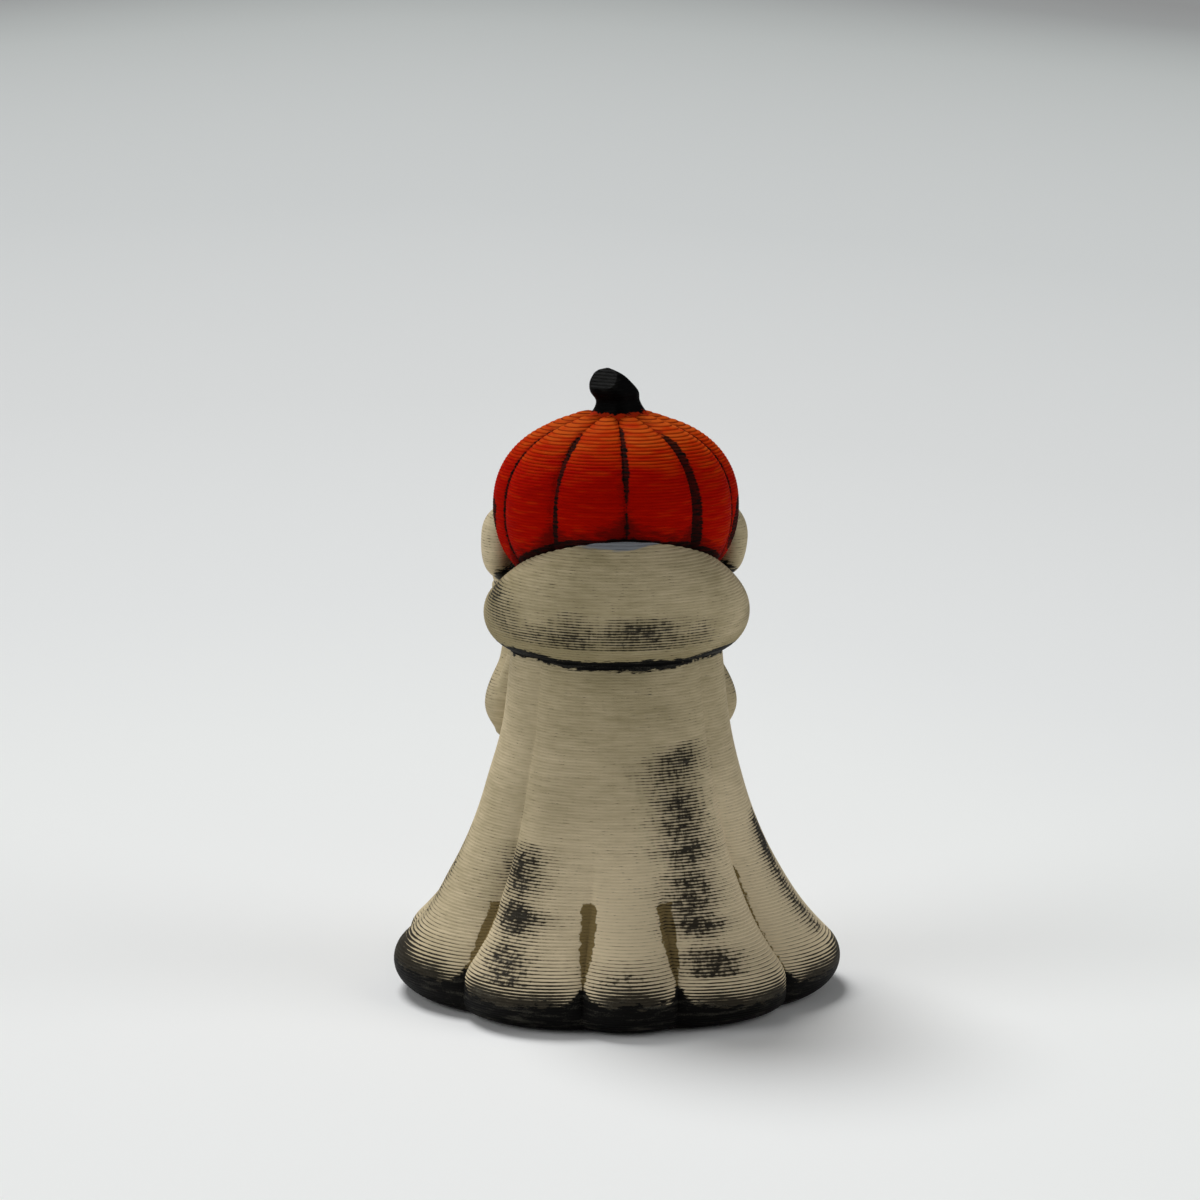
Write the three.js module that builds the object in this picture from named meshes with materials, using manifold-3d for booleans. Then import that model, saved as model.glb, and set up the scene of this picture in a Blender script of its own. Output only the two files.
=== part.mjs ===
// A ghost with a pumpkin for a head: a small painted figurine, printed in separate parts that are
// doweled, pinned and glued together. Nothing on it moves.
// Millimetres, +Z up. It stands on Z = 0 with the Z axis through its middle, faces -Y, and its left is +X.
import * as THREE from "three";
import { mergeVertices } from "three/addons/utils/BufferGeometryUtils.js";
import Module from "manifold-3d";

const wasm = await Module();
wasm.setup();

// Fits
const GLUE_GAP = 0.15; // between two surfaces that are shaped to each other
const PEG_CLEARANCE = 0.1; // all round a dowel, tenon, pin or plate in its seat
const OVERLAP = 1; // how far one form is drawn into another that it joins or cuts

// Robe: a fluted sheet, from its rolled hem to the flat shoulder that the hood sits on
const HEM_RADIUS = 22; // over the crests of the flutes
const HEM_WIDEST_HEIGHT = 3.1;
const FOOT_RADIUS = 18.4; // where the rolled hem meets the floor
const HEM_ROLL_END_DEG = 42; // how far the roll runs on above its widest level
const WAIST_RADIUS = 11.1;
const WAIST_HEIGHT = 26;
const WAIST_LEAN = 0.14; // how much the sheet draws in per millimetre of height at the waist
const FLARE_FULLNESS = 0.38; // how long the flare keeps its slope at both ends, as a share of its height
const SHOULDER_RADIUS = 10.3;
const SHOULDER_HEIGHT = 33.6;
const ROBE_WALL = 1.8;
const NECK_BLOCK = 9.6; // depth of solid robe below the shoulder, which holds the dowel and the pins
const FLUTE_FADE_HEIGHT = 24; // above this only a valley's waist depth is left
const FOOT_DEPTH_SHARE = 0.5; // how much of a valley's hem depth is left where it meets the floor
const CREST_FULLNESS = 0.7; // below 1 the valleys are creases and the crests are round
// The valleys between the flutes, on each side: degrees from the middle of the back, and depths
const VALLEYS = [
  { fromBack: 13, hemDepth: 2, waistDepth: 0 },
  { fromBack: 51, hemDepth: 2.4, waistDepth: 0.6 },
  { fromBack: 104, hemDepth: 2.3, waistDepth: 0.7 },
  { fromBack: 136, hemDepth: 2, waistDepth: 0.4 },
  { fromBack: 165, hemDepth: 1.9, waistDepth: 0.2 },
];

// Base plate, glued flush into the foot
const PLATE_RADIUS = 13.6;
const PLATE_THICKNESS = 1.6;
const PLATE_LEDGE = 1.1; // width of the ledge that it seats on
const PLATE_CHAMFER = 0.3;

// Neck: a spigot that centres the hood, and a boss that carries the head on a hexagonal dowel
const SPIGOT_RADIUS = 6.4;
const SPIGOT_HEIGHT = 2.4;
const NECK_BOSS_RADIUS = 4.6;
const NECK_RISE = 4.7; // from the shoulder to the head's seat on the boss
const DOWEL_ACROSS_FLATS = 4;
const DOWEL_LENGTH = 11.6;
const DOWEL_IN_ROBE = 6.6;
const DOWEL_CHAMFER = 0.5;
const DOWEL_END_ROOM = 0.3; // air past each end of the dowel

// Pumpkin head: a ribbed shell on a flat seat
const HEAD_RADIUS = 11.85;
const HEAD_HALF_HEIGHT = 9.1;
const HEAD_SEAT_RADIUS = 3.95; // of the flat that it is cut off at
const HEAD_SQUARENESS = 2.25; // exponent of its profile: 2 is an ellipse, more is squarer
const HEAD_POLE_GAP = 0.015; // how far short of its top pole the profile ends, under the stem
const RIB_COUNT = 10;
const RIB_DEPTH = 0.6;
const RIB_FULLNESS = 0.62; // below 1 the grooves are creases and the ribs are round
const RIB_FADE_RADIUS = 3; // the ribs run out inside this radius, under the stem
const HEAD_WALL = 1.8;
const HEAD_SOCKET_WALL = 1.4; // round the dowel, inside the head

// Carved face, sunk into the front of the head. Rises are from the head's middle.
const FACE_DEPTH = 0.8;
const EYE_SPREAD = 4.1; // from the middle of the face to the middle of an eye
const EYE_RISE = 1.95;
const EYE_WIDTH = 4.2;
const EYE_TALL = 3.5;
const EYE_LEAN = 0.5; // how far its peak leans towards the nose
const NOSE_RISE = -0.45;
const NOSE_WIDTH = 1.9;
const NOSE_TALL = 1.6;
const MOUTH_WIDTH = 11.6;
const MOUTH_CORNER_RISE = -1.85;
const UPPER_LIP_SAG = 1.5;
const LOWER_LIP_SAG = 4.3;
const TOOTH_WIDTH = 1.5;
const TOOTH_TALL = 1.3;
const UPPER_TOOTH_SPREAD = 2.3;

// Stem, leaning over to a slanting cut, and held in the head by a square tenon
// Its level outlines: [above its seat, to the figure's left, radius]
const STEM_LEVELS = [
  [-1, -0.3, 3.4],
  [0.4, -0.25, 2.3],
  [1.1, -0.15, 2.05],
  [2, 0.2, 2.25],
  [2.9, 0.6, 1.95],
  [3.6, 0.9, 1.5],
  [4.3, 1.2, 0.5],
];
const STEM_LEAN_BACK = 0.6; // how far it leans to the back, as a share of its lean to the left
const STEM_RIDGES = 5;
const STEM_RIDGE_HEIGHT = 0.06; // as a share of its radius
const STEM_CUT_LEVEL = 3.6; // where the cut crosses the middle of the stem's leaning end, above its seat
const STEM_CUT_FACING = [0.45, 0.55, 0.7]; // to the figure's left, its back and up
const STEM_TENON_SIDE = 2.2;
const STEM_TENON_LENGTH = 2.4;

// Hood, pushed back and lying round the neck: a ring whose section changes from back to side to front
const HOOD_OUTER_RADIUS = { back: 14.2, side: 12.8, front: 12 };
const HOOD_HALF_THICKNESS = { back: 4.2, side: 3.5, front: 3.3 };
const HOOD_RISE = { back: 12.5, side: 6.7, front: 6 }; // from the shoulder to its top
const HOOD_EASE = 1.25; // how soon the section changes away from the middle of the back and front
const HOOD_BULGE_BELOW_SEAT = 0.3; // how far the full section would reach below its flat seat

// Left sleeve: an upper arm out of the shoulder, and a forearm from the elbow up past the hood to the
// cuff. A point is [degrees from the middle of the back, outside the shoulder's radius or, for the cuff,
// outside the hood's, above the shoulder's height].
const ARM_PATH = [
  [112, -2.1, 1.4],
  [120, -1, -2.6],
  [124, 0.9, -6.6],
];
const ARM_RADIUS = 2.4;
const FOREARM_PATH = [
  [124, 1.1, -9.6],
  [126, 1.4, -7.1],
  [137, 2, -3.3],
];
const CUFF_PATH = [
  [141, 1.2, 0.4],
  [136.5, 1.75, 4.4],
];
const FOREARM_RADII = [2, 3, 2.6, 2.3, 2.2]; // at each point of both paths
const LIMB_END_ROUND = 0.35; // how far a limb's ends are rounded, as a share of its radius
const CUFF_BORE_RADIUS = 1;
const CUFF_BORE_DEPTH = 1.8;

// Left hand: a mitten laid on the pumpkin's cheek, its wrist pushed into the cuff. After the wrist,
// a point is [degrees from the middle of the back, outside the head's radius, above its middle].
const HAND_PATH = [
  [124.5, 0.65, -6.65],
  [109.7, 0, -4.55],
  [99.5, -0.4, -2.85],
  [92, -0.85, -1.35],
];
const HAND_HALF_THICKNESS = [1.6, 1.5, 1.6, 1.6, 0.6]; // at the wrist and each point of its path
const HAND_HALF_WIDTH = [1.7, 2, 2.7, 2.7, 1.2];
const THUMB_PATH = [
  [124.5, 0.65, -6.15],
  [129.7, 0.85, -4.15],
  [133.4, 0.8, -2.25],
];
const THUMB_RADII = [1.3, 1.2, 0.75];

// Filament pins that locate each sleeve on the robe, at these points of the forearm's path
const PIN_RADIUS = 0.875;
const PIN_LENGTH = 4;
const PIN_IN_ROBE = 2;
const PIN_CHAMFER = 0.2;
const PIN_SEATS = [
  { name: "elbow", at: 1 },
  { name: "forearm", at: 2 },
];

// How finely the forms are divided
const ROBE_SEGMENTS = 90;
const HEM_RINGS = 6;
const FLARE_RINGS = 8;
const CHEST_RINGS = 2;
const SEGMENTS_PER_RIB = 8;
const HEAD_RINGS = 15;
const CAVITY_RINGS = 8;
const HOOD_SEGMENTS = 44;
const HOOD_SECTION_SEGMENTS = 14;
const LIMB_SEGMENTS = 14;
const STEM_SEGMENTS = 20;
const STEM_RINGS = 12;
const LIP_SEGMENTS = 10;
const ROUND_SEGMENTS = 32;
const PIN_SEGMENTS = 12;
const HEXAGON = 6;

const FULL_TURN = 2 * Math.PI;
const { degToRad, radToDeg, lerp, smoothstep } = THREE.MathUtils;

// Levels and angles that follow from the sizes above
const CAVITY_TOP_HEIGHT = SHOULDER_HEIGHT - NECK_BLOCK;
const HEAD_SEAT_HEIGHT = SHOULDER_HEIGHT + NECK_RISE;
const HEAD_SEAT_LATITUDE = -Math.acos((HEAD_SEAT_RADIUS / HEAD_RADIUS) ** (HEAD_SQUARENESS / 2));
const HEAD_MIDDLE_HEIGHT = HEAD_SEAT_HEIGHT - headRise(HEAD_SEAT_LATITUDE, HEAD_HALF_HEIGHT);
const STEM_SEAT_HEIGHT = HEAD_MIDDLE_HEIGHT + HEAD_HALF_HEIGHT;
const DOWEL_LOW = HEAD_SEAT_HEIGHT - DOWEL_IN_ROBE;
const DOWEL_HIGH = DOWEL_LOW + DOWEL_LENGTH;

// Solids

/** The closed solid that a geometry bounds. */
function solidOf(geometry) {
  const bare = geometry.clone();
  for (const name of ["normal", "uv"]) bare.deleteAttribute(name);
  const merged = mergeVertices(bare, 1e-4);
  return new wasm.Manifold(
    new wasm.Mesh({
      numProp: 3,
      vertProperties: merged.attributes.position.array,
      triVerts: new Uint32Array(merged.index.array),
    }),
  );
}

/** The geometry of a solid's surface. */
function geometryOf(solid) {
  const { vertProperties, triVerts } = solid.getMesh();
  const geometry = new THREE.BufferGeometry();
  geometry.setAttribute("position", new THREE.BufferAttribute(new Float32Array(vertProperties), 3));
  geometry.setIndex(new THREE.BufferAttribute(new Uint32Array(triVerts), 1));
  geometry.computeVertexNormals();
  return geometry;
}

/** Skins a stack of rings of points. Each runs anticlockwise seen from the far end of the stack. */
function skin(rings, looped = false) {
  const count = rings[0].length;
  const points = rings.flat();
  const triangles = [];
  const bands = looped ? rings.length : rings.length - 1;
  for (let j = 0; j < bands; j++) {
    const low = j * count;
    const high = ((j + 1) % rings.length) * count;
    for (let i = 0; i < count; i++) {
      const next = (i + 1) % count;
      triangles.push(low + i, low + next, high + next, low + i, high + next, high + i);
    }
  }
  if (!looped) {
    const top = (rings.length - 1) * count;
    const footMiddle = points.push(middleOf(rings[0])) - 1;
    const topMiddle = points.push(middleOf(rings[rings.length - 1])) - 1;
    for (let i = 0; i < count; i++) {
      const next = (i + 1) % count;
      triangles.push(footMiddle, next, i, topMiddle, top + i, top + next);
    }
  }
  const geometry = new THREE.BufferGeometry().setFromPoints(points);
  geometry.setIndex(triangles);
  return solidOf(geometry);
}

function middleOf(points) {
  const sum = points.reduce((total, point) => total.add(point), new THREE.Vector3());
  return sum.divideScalar(points.length);
}

/** A solid of revolution about Z from [radius, height] pairs that start and end on the axis. */
function turned(profile, segments = ROUND_SEGMENTS) {
  const points = profile.map(([radius, height]) => new THREE.Vector2(radius, height));
  return solidOf(new THREE.LatheGeometry(points, segments).rotateX(Math.PI / 2));
}

/** A cylinder or prism along Z between two heights. */
function post(radius, low, high, segments = ROUND_SEGMENTS) {
  return turned([[0, low], [radius, low], [radius, high], [0, high]], segments);
}

/** The same with a chamfer on both of its ends. */
function chamferedPost(radius, low, high, chamfer, segments = ROUND_SEGMENTS) {
  const inner = radius - chamfer;
  const foot = [[0, low], [inner, low], [radius, low + chamfer]];
  const top = [[radius, high - chamfer], [inner, high], [0, high]];
  return turned([...foot, ...top], segments);
}

/** A solid turned so that its Z axis runs a given way, and moved. */
function aimed(solid, direction, position) {
  const turn = new THREE.Quaternion().setFromUnitVectors(new THREE.Vector3(0, 0, 1), direction);
  const place = new THREE.Matrix4().makeRotationFromQuaternion(turn).setPosition(position);
  return solidOf(geometryOf(solid).applyMatrix4(place));
}

/** The same solid on the other side of the figure. */
function mirrored(solid) {
  const geometry = geometryOf(solid).scale(-1, 1, 1);
  const index = geometry.index.array;
  for (let i = 0; i < index.length; i += 3) {
    [index[i + 1], index[i + 2]] = [index[i + 2], index[i + 1]];
  }
  return solidOf(geometry);
}

/** The largest body of a solid that a cut may have left in pieces. */
function largest(solid) {
  return solid.decompose().reduce((a, b) => (a.volume() > b.volume() ? a : b));
}

/** The point at a radius, an angle from the middle of the back towards the left, and a height. */
function around(radius, fromBack, height) {
  return new THREE.Vector3(radius * Math.sin(fromBack), radius * Math.cos(fromBack), height);
}

/** The points of a path given as [degrees from the middle of the back, outside a radius, above a height]. */
function pathAround(points, radiusAt, height) {
  return points.map(([fromBack, out, up]) => {
    const angle = degToRad(fromBack);
    return around(radiusAt(angle) + out, angle, height + up);
  });
}

/** A value eased smoothly along a list of values at even steps. */
function sizeAlong(values, along) {
  const curve = new THREE.CatmullRomCurve3(values.map((value) => new THREE.Vector3(value, 0, 0)));
  return curve.getPoint(along).x;
}

// Robe

/** The robe's outline over its crests, from the foot to the shoulder: x is the radius, y the height. */
function robeProfile() {
  const roll = new THREE.EllipseCurve(
    FOOT_RADIUS,
    HEM_WIDEST_HEIGHT,
    HEM_RADIUS - FOOT_RADIUS,
    HEM_WIDEST_HEIGHT,
    -Math.PI / 2,
    degToRad(HEM_ROLL_END_DEG),
  );
  const rollEnd = roll.getPoint(1);
  const waist = new THREE.Vector2(WAIST_RADIUS, WAIST_HEIGHT);
  const shoulder = new THREE.Vector2(SHOULDER_RADIUS, SHOULDER_HEIGHT);
  const reach = (WAIST_HEIGHT - rollEnd.y) * FLARE_FULLNESS;
  const belowWaist = waist.clone().add(new THREE.Vector2(WAIST_LEAN * reach, -reach));
  const aboveRoll = rollEnd.clone().addScaledVector(roll.getTangent(1), reach);
  const rise = (SHOULDER_HEIGHT - WAIST_HEIGHT) / 2;
  const aboveWaist = waist.clone().add(new THREE.Vector2(-WAIST_LEAN * rise, rise));
  const flare = new THREE.CubicBezierCurve(rollEnd, aboveRoll, belowWaist, waist);
  const chest = new THREE.QuadraticBezierCurve(waist, aboveWaist, shoulder);
  return [
    ...roll.getPoints(HEM_RINGS),
    ...flare.getPoints(FLARE_RINGS).slice(1),
    ...chest.getPoints(CHEST_RINGS).slice(1),
  ];
}

/** A valley's depth at a height: most at the hem, less at the floor, its waist depth above the fade. */
function valleyDepth(valley, height) {
  const fade = smoothstep(height, HEM_WIDEST_HEIGHT, FLUTE_FADE_HEIGHT);
  const foot = lerp(FOOT_DEPTH_SHARE, 1, smoothstep(height, 0, HEM_WIDEST_HEIGHT));
  return lerp(valley.hemDepth, valley.waistDepth, fade) * foot;
}

/** How far the sheet lies inside its outline at an angle from the back and a height. */
function fluteDepth(fromBack, height) {
  const angle = radToDeg(Math.abs(Math.atan2(Math.sin(fromBack), Math.cos(fromBack))));
  const [first, last] = [VALLEYS[0], VALLEYS[VALLEYS.length - 1]];
  const beyondBack = { ...first, fromBack: -first.fromBack };
  const beyondFront = { ...last, fromBack: 360 - last.fromBack };
  const valleys = [beyondBack, ...VALLEYS, beyondFront];
  const k = valleys.findIndex((valley) => valley.fromBack > angle);
  const [before, after] = [valleys[k - 1], valleys[k]];
  const across = (angle - before.fromBack) / (after.fromBack - before.fromBack);
  const crest = Math.sin(Math.PI * across) ** CREST_FULLNESS;
  return lerp(valleyDepth(before, height), valleyDepth(after, height), across) * (1 - crest);
}

/** Even steps round the robe, with each valley's own angle in place of the nearest step. */
function robeAngles() {
  const step = FULL_TURN / ROBE_SEGMENTS;
  const angles = Array.from({ length: ROBE_SEGMENTS }, (_, i) => i * step);
  for (const { fromBack } of VALLEYS) {
    for (const angle of [degToRad(fromBack), FULL_TURN - degToRad(fromBack)]) {
      angles[Math.round(angle / step)] = angle;
    }
  }
  return angles;
}

/** The outside of the robe, grown by a margin to cut its neighbours with. */
function robeOutside(grow = 0) {
  const angles = robeAngles().reverse();
  const rings = robeProfile().map(({ x, y }) =>
    angles.map((angle) => around(x + grow - fluteDepth(angle, y), angle, y)),
  );
  if (grow) {
    const shoulder = rings[rings.length - 1];
    rings.push(shoulder.map((point) => point.clone().setZ(SHOULDER_HEIGHT + grow)));
  }
  return skin(rings);
}

/** The air inside the robe, above the base plate. */
function robeCavity() {
  const deepest = (height) => Math.max(...VALLEYS.map((valley) => valleyDepth(valley, height)));
  const wall = robeProfile()
    .filter(({ y }) => y > HEM_WIDEST_HEIGHT + ROBE_WALL && y < CAVITY_TOP_HEIGHT - ROBE_WALL)
    .map(({ x, y }) => [x - deepest(y) - ROBE_WALL, y]);
  const [narrowest] = wall[wall.length - 1];
  return turned([
    [0, PLATE_THICKNESS],
    [PLATE_RADIUS - PLATE_LEDGE, PLATE_THICKNESS],
    ...wall,
    [narrowest - ROBE_WALL, CAVITY_TOP_HEIGHT],
    [0, CAVITY_TOP_HEIGHT],
  ]);
}

function makeRobe() {
  const plateSeat = post(PLATE_RADIUS + PEG_CLEARANCE, -OVERLAP, PLATE_THICKNESS);
  const spigot = post(SPIGOT_RADIUS, SHOULDER_HEIGHT - OVERLAP, SHOULDER_HEIGHT + SPIGOT_HEIGHT);
  const boss = post(NECK_BOSS_RADIUS, SHOULDER_HEIGHT - OVERLAP, HEAD_SEAT_HEIGHT);
  let robe = robeOutside().add(spigot).add(boss);
  robe = robe.subtract(robeCavity()).subtract(plateSeat).subtract(dowelHole());
  for (const hole of pinHoles()) robe = robe.subtract(hole).subtract(mirrored(hole));
  return robe;
}

function makeBasePlate() {
  return chamferedPost(PLATE_RADIUS, 0, PLATE_THICKNESS, PLATE_CHAMFER);
}

// Dowel and pins

const dowelRadius = (acrossFlats) => acrossFlats / Math.sqrt(3);

function makeNeckDowel() {
  return chamferedPost(dowelRadius(DOWEL_ACROSS_FLATS), DOWEL_LOW, DOWEL_HIGH, DOWEL_CHAMFER, HEXAGON);
}

/** The hexagonal hole round the dowel, in the robe and in the head. */
function dowelHole() {
  const radius = dowelRadius(DOWEL_ACROSS_FLATS + 2 * PEG_CLEARANCE);
  return post(radius, DOWEL_LOW - DOWEL_END_ROOM, DOWEL_HIGH + DOWEL_END_ROOM, HEXAGON);
}

/** A rod laid level through the robe's surface at a pin's seat. Z = 0 of the rod lands on the surface. */
function atPinSeat(rod, { at }) {
  const [fromBack, , rise] = FOREARM_PATH[at];
  const angle = degToRad(fromBack);
  const height = SHOULDER_HEIGHT + rise;
  const profile = robeProfile();
  const k = profile.findIndex(({ y }) => y >= height);
  const [low, high] = [profile[k - 1], profile[k]];
  const crest = lerp(low.x, high.x, (height - low.y) / (high.y - low.y));
  const surface = around(crest - fluteDepth(angle, height), angle, height);
  return aimed(rod, around(1, angle, 0), surface);
}

function makeLeftPin(seat) {
  const rod = chamferedPost(PIN_RADIUS, -PIN_IN_ROBE, PIN_LENGTH - PIN_IN_ROBE, PIN_CHAMFER, PIN_SEGMENTS);
  return atPinSeat(rod, seat);
}

/** The holes round the left pins, in the robe and in the left sleeve. */
function pinHoles() {
  const low = -PIN_IN_ROBE - PEG_CLEARANCE;
  const high = PIN_LENGTH - PIN_IN_ROBE + PEG_CLEARANCE;
  const hole = post(PIN_RADIUS + PEG_CLEARANCE, low, high, PIN_SEGMENTS);
  return PIN_SEATS.map((seat) => atPinSeat(hole, seat));
}

// Head

/** How full a rib is at an angle: 0 in a groove, 1 on a crest. The first groove is at the back. */
function ribFullness(fromBack) {
  const ribs = (fromBack * RIB_COUNT) / FULL_TURN;
  return Math.abs(Math.sin(Math.PI * ribs)) ** RIB_FULLNESS;
}

/** How far a latitude of the head's rounded profile lies above its middle. */
function headRise(latitude, halfHeight) {
  return halfHeight * Math.sign(latitude) * Math.abs(Math.sin(latitude)) ** (2 / HEAD_SQUARENESS);
}

/** The head grown or shrunk by a margin. Without a rib depth it is the smooth form over the ribs. */
function headOutside(grow = 0, ribDepth = RIB_DEPTH) {
  const segments = (RIB_COUNT * SEGMENTS_PER_RIB) / (ribDepth ? 1 : 2);
  const topLatitude = (Math.PI / 2) * (1 - HEAD_POLE_GAP);
  const rings = [];
  for (let j = 0; j <= HEAD_RINGS; j++) {
    const latitude = lerp(HEAD_SEAT_LATITUDE, topLatitude, j / HEAD_RINGS);
    const radius = (HEAD_RADIUS + grow) * Math.cos(latitude) ** (2 / HEAD_SQUARENESS);
    const rise = headRise(latitude, HEAD_HALF_HEIGHT + grow);
    const fade = Math.min(1, radius / RIB_FADE_RADIUS);
    const ring = [];
    for (let i = segments; i > 0; i--) {
      const angle = (i / segments) * FULL_TURN;
      const size = 1 - (ribDepth / HEAD_RADIUS) * (1 - ribFullness(angle)) * fade;
      const height = j === 0 ? rise : rise * size;
      ring.push(around(radius * size, angle, HEAD_MIDDLE_HEIGHT + height));
    }
    rings.push(ring);
  }
  return skin(rings);
}

/** A shape drawn on the face, as seen from the front, carried from the Z axis out through the head. */
function carved(shape) {
  const depth = HEAD_RADIUS + OVERLAP;
  const options = { depth, bevelEnabled: false, curveSegments: LIP_SEGMENTS };
  return solidOf(new THREE.ExtrudeGeometry(shape, options).rotateX(Math.PI / 2));
}

function triangle(x, rise, width, tall, peakX) {
  const foot = HEAD_MIDDLE_HEIGHT + rise;
  const shape = new THREE.Shape();
  shape.moveTo(x - width / 2, foot);
  shape.lineTo(x + width / 2, foot);
  shape.lineTo(peakX, foot + tall);
  shape.closePath();
  return carved(shape);
}

/** A crescent between two lips that hang from corners at the same height. */
function mouth(cornerHeight) {
  const half = MOUTH_WIDTH / 2;
  const shape = new THREE.Shape();
  shape.moveTo(-half, cornerHeight);
  shape.quadraticCurveTo(0, cornerHeight - 2 * LOWER_LIP_SAG, half, cornerHeight);
  shape.quadraticCurveTo(0, cornerHeight - 2 * UPPER_LIP_SAG, -half, cornerHeight);
  return carved(shape);
}

function tooth(x, low, high) {
  const shape = new THREE.Shape();
  shape.moveTo(x - TOOTH_WIDTH / 2, low);
  shape.lineTo(x + TOOTH_WIDTH / 2, low);
  shape.lineTo(x + TOOTH_WIDTH / 2, high);
  shape.lineTo(x - TOOTH_WIDTH / 2, high);
  shape.closePath();
  return carved(shape);
}

/** What the eyes, the nose and the mouth take out of the head's front. */
function faceHollows() {
  const eye = triangle(EYE_SPREAD, EYE_RISE, EYE_WIDTH, EYE_TALL, EYE_SPREAD - EYE_LEAN);
  const nose = triangle(0, NOSE_RISE, NOSE_WIDTH, NOSE_TALL, 0);
  const corners = HEAD_MIDDLE_HEIGHT + MOUTH_CORNER_RISE;
  const upperLip = corners - UPPER_LIP_SAG;
  const lowerLip = corners - LOWER_LIP_SAG;
  const grin = mouth(corners)
    .subtract(tooth(-UPPER_TOOTH_SPREAD, upperLip - TOOTH_TALL, upperLip + OVERLAP))
    .subtract(tooth(UPPER_TOOTH_SPREAD, upperLip - TOOTH_TALL, upperLip + OVERLAP))
    .subtract(tooth(0, lowerLip - OVERLAP, lowerLip + TOOTH_TALL));
  return eye.add(mirrored(eye)).add(nose).add(grin).subtract(headOutside(-FACE_DEPTH));
}

function headCavity() {
  const radius = HEAD_RADIUS - RIB_DEPTH - HEAD_WALL;
  const half = HEAD_HALF_HEIGHT - HEAD_WALL;
  const profile = [];
  for (let j = 0; j <= CAVITY_RINGS; j++) {
    const latitude = lerp(-Math.PI / 2, Math.PI / 2, j / CAVITY_RINGS);
    const onAxis = j === 0 || j === CAVITY_RINGS;
    profile.push([onAxis ? 0 : radius * Math.cos(latitude), HEAD_MIDDLE_HEIGHT + half * Math.sin(latitude)]);
  }
  return turned(profile);
}

function makeHead() {
  const socketRadius = dowelRadius(DOWEL_ACROSS_FLATS) + PEG_CLEARANCE + HEAD_SOCKET_WALL;
  const socket = post(socketRadius, HEAD_SEAT_HEIGHT, DOWEL_HIGH + DOWEL_END_ROOM);
  return headOutside()
    .subtract(headCavity())
    .add(socket)
    .subtract(dowelHole())
    .subtract(stemTenon(PEG_CLEARANCE))
    .subtract(faceHollows());
}

// Stem

/** The square tenon under the stem, grown all round by a clearance. */
function stemTenon(grow = 0) {
  const side = STEM_TENON_SIDE + 2 * grow;
  const tall = STEM_TENON_LENGTH + OVERLAP + grow;
  const box = new THREE.BoxGeometry(side, side, tall);
  return solidOf(box.translate(0, 0, STEM_SEAT_HEIGHT + OVERLAP - tall / 2));
}

/** A level ring of the stem, ridged down its length, a share of the way up. */
function stemRing(along) {
  const [rise, left, radius] = STEM_LEVELS[0].map((_, i) =>
    sizeAlong(STEM_LEVELS.map((level) => level[i]), along),
  );
  const centre = new THREE.Vector3(left, left * STEM_LEAN_BACK, STEM_SEAT_HEIGHT + rise);
  return Array.from({ length: STEM_SEGMENTS }, (_, i) => {
    const angle = (-i / STEM_SEGMENTS) * FULL_TURN;
    const reach = radius * (1 + STEM_RIDGE_HEIGHT * Math.cos(STEM_RIDGES * angle));
    return around(reach, angle, 0).add(centre);
  });
}

function makeStem() {
  const rings = Array.from({ length: STEM_RINGS + 1 }, (_, j) => stemRing(j / STEM_RINGS));
  const [, left] = STEM_LEVELS[STEM_LEVELS.length - 1];
  const middle = new THREE.Vector3(left, left * STEM_LEAN_BACK, STEM_SEAT_HEIGHT + STEM_CUT_LEVEL);
  const outward = new THREE.Vector3(...STEM_CUT_FACING).normalize();
  return skin(rings)
    .trimByPlane(outward.clone().negate().toArray(), -middle.dot(outward))
    .subtract(headCutter())
    .add(stemTenon());
}

// Hood

/** A measure of the hood at an angle, eased from its back value to its side value to its front value. */
function hoodMeasure({ back, side, front }, fromBack) {
  const cosine = Math.cos(fromBack);
  return lerp(side, cosine > 0 ? back : front, Math.abs(cosine) ** HOOD_EASE);
}

/** The full ring of the hood before it is fitted, grown by a margin to cut its neighbours with. */
function hoodRing(grow = 0) {
  const low = SHOULDER_HEIGHT - HOOD_BULGE_BELOW_SEAT;
  const rings = [];
  for (let i = HOOD_SEGMENTS; i > 0; i--) {
    const fromBack = (i / HOOD_SEGMENTS) * FULL_TURN;
    const halfTall = (hoodMeasure(HOOD_RISE, fromBack) + HOOD_BULGE_BELOW_SEAT) / 2;
    const halfThick = hoodMeasure(HOOD_HALF_THICKNESS, fromBack);
    const middle = hoodMeasure(HOOD_OUTER_RADIUS, fromBack) - halfThick;
    const section = [];
    for (let k = HOOD_SECTION_SEGMENTS; k > 0; k--) {
      const angle = (k / HOOD_SECTION_SEGMENTS) * FULL_TURN;
      const radius = middle + (halfThick + grow) * Math.cos(angle);
      const height = low + halfTall + (halfTall + grow) * Math.sin(angle);
      section.push(around(radius, fromBack, height));
    }
    rings.push(section);
  }
  return skin(rings, true);
}

function makeHood() {
  const belowSeat = post(HOOD_OUTER_RADIUS.back + OVERLAP, SHOULDER_HEIGHT - 2 * OVERLAP, SHOULDER_HEIGHT);
  const bore = post(SPIGOT_RADIUS + PEG_CLEARANCE, SHOULDER_HEIGHT - OVERLAP, HEAD_MIDDLE_HEIGHT);
  return hoodRing().subtract(belowSeat).subtract(bore).subtract(headCutter());
}

// Arms

const onShoulder = (path) => pathAround(path, () => SHOULDER_RADIUS, SHOULDER_HEIGHT);
const onHood = (path) => pathAround(path, (angle) => hoodMeasure(HOOD_OUTER_RADIUS, angle), SHOULDER_HEIGHT);
const onHead = (path) => pathAround(path, () => HEAD_RADIUS, HEAD_MIDDLE_HEIGHT);
const forearmPoints = () => [...onShoulder(FOREARM_PATH), ...onHood(CUFF_PATH)];

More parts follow.
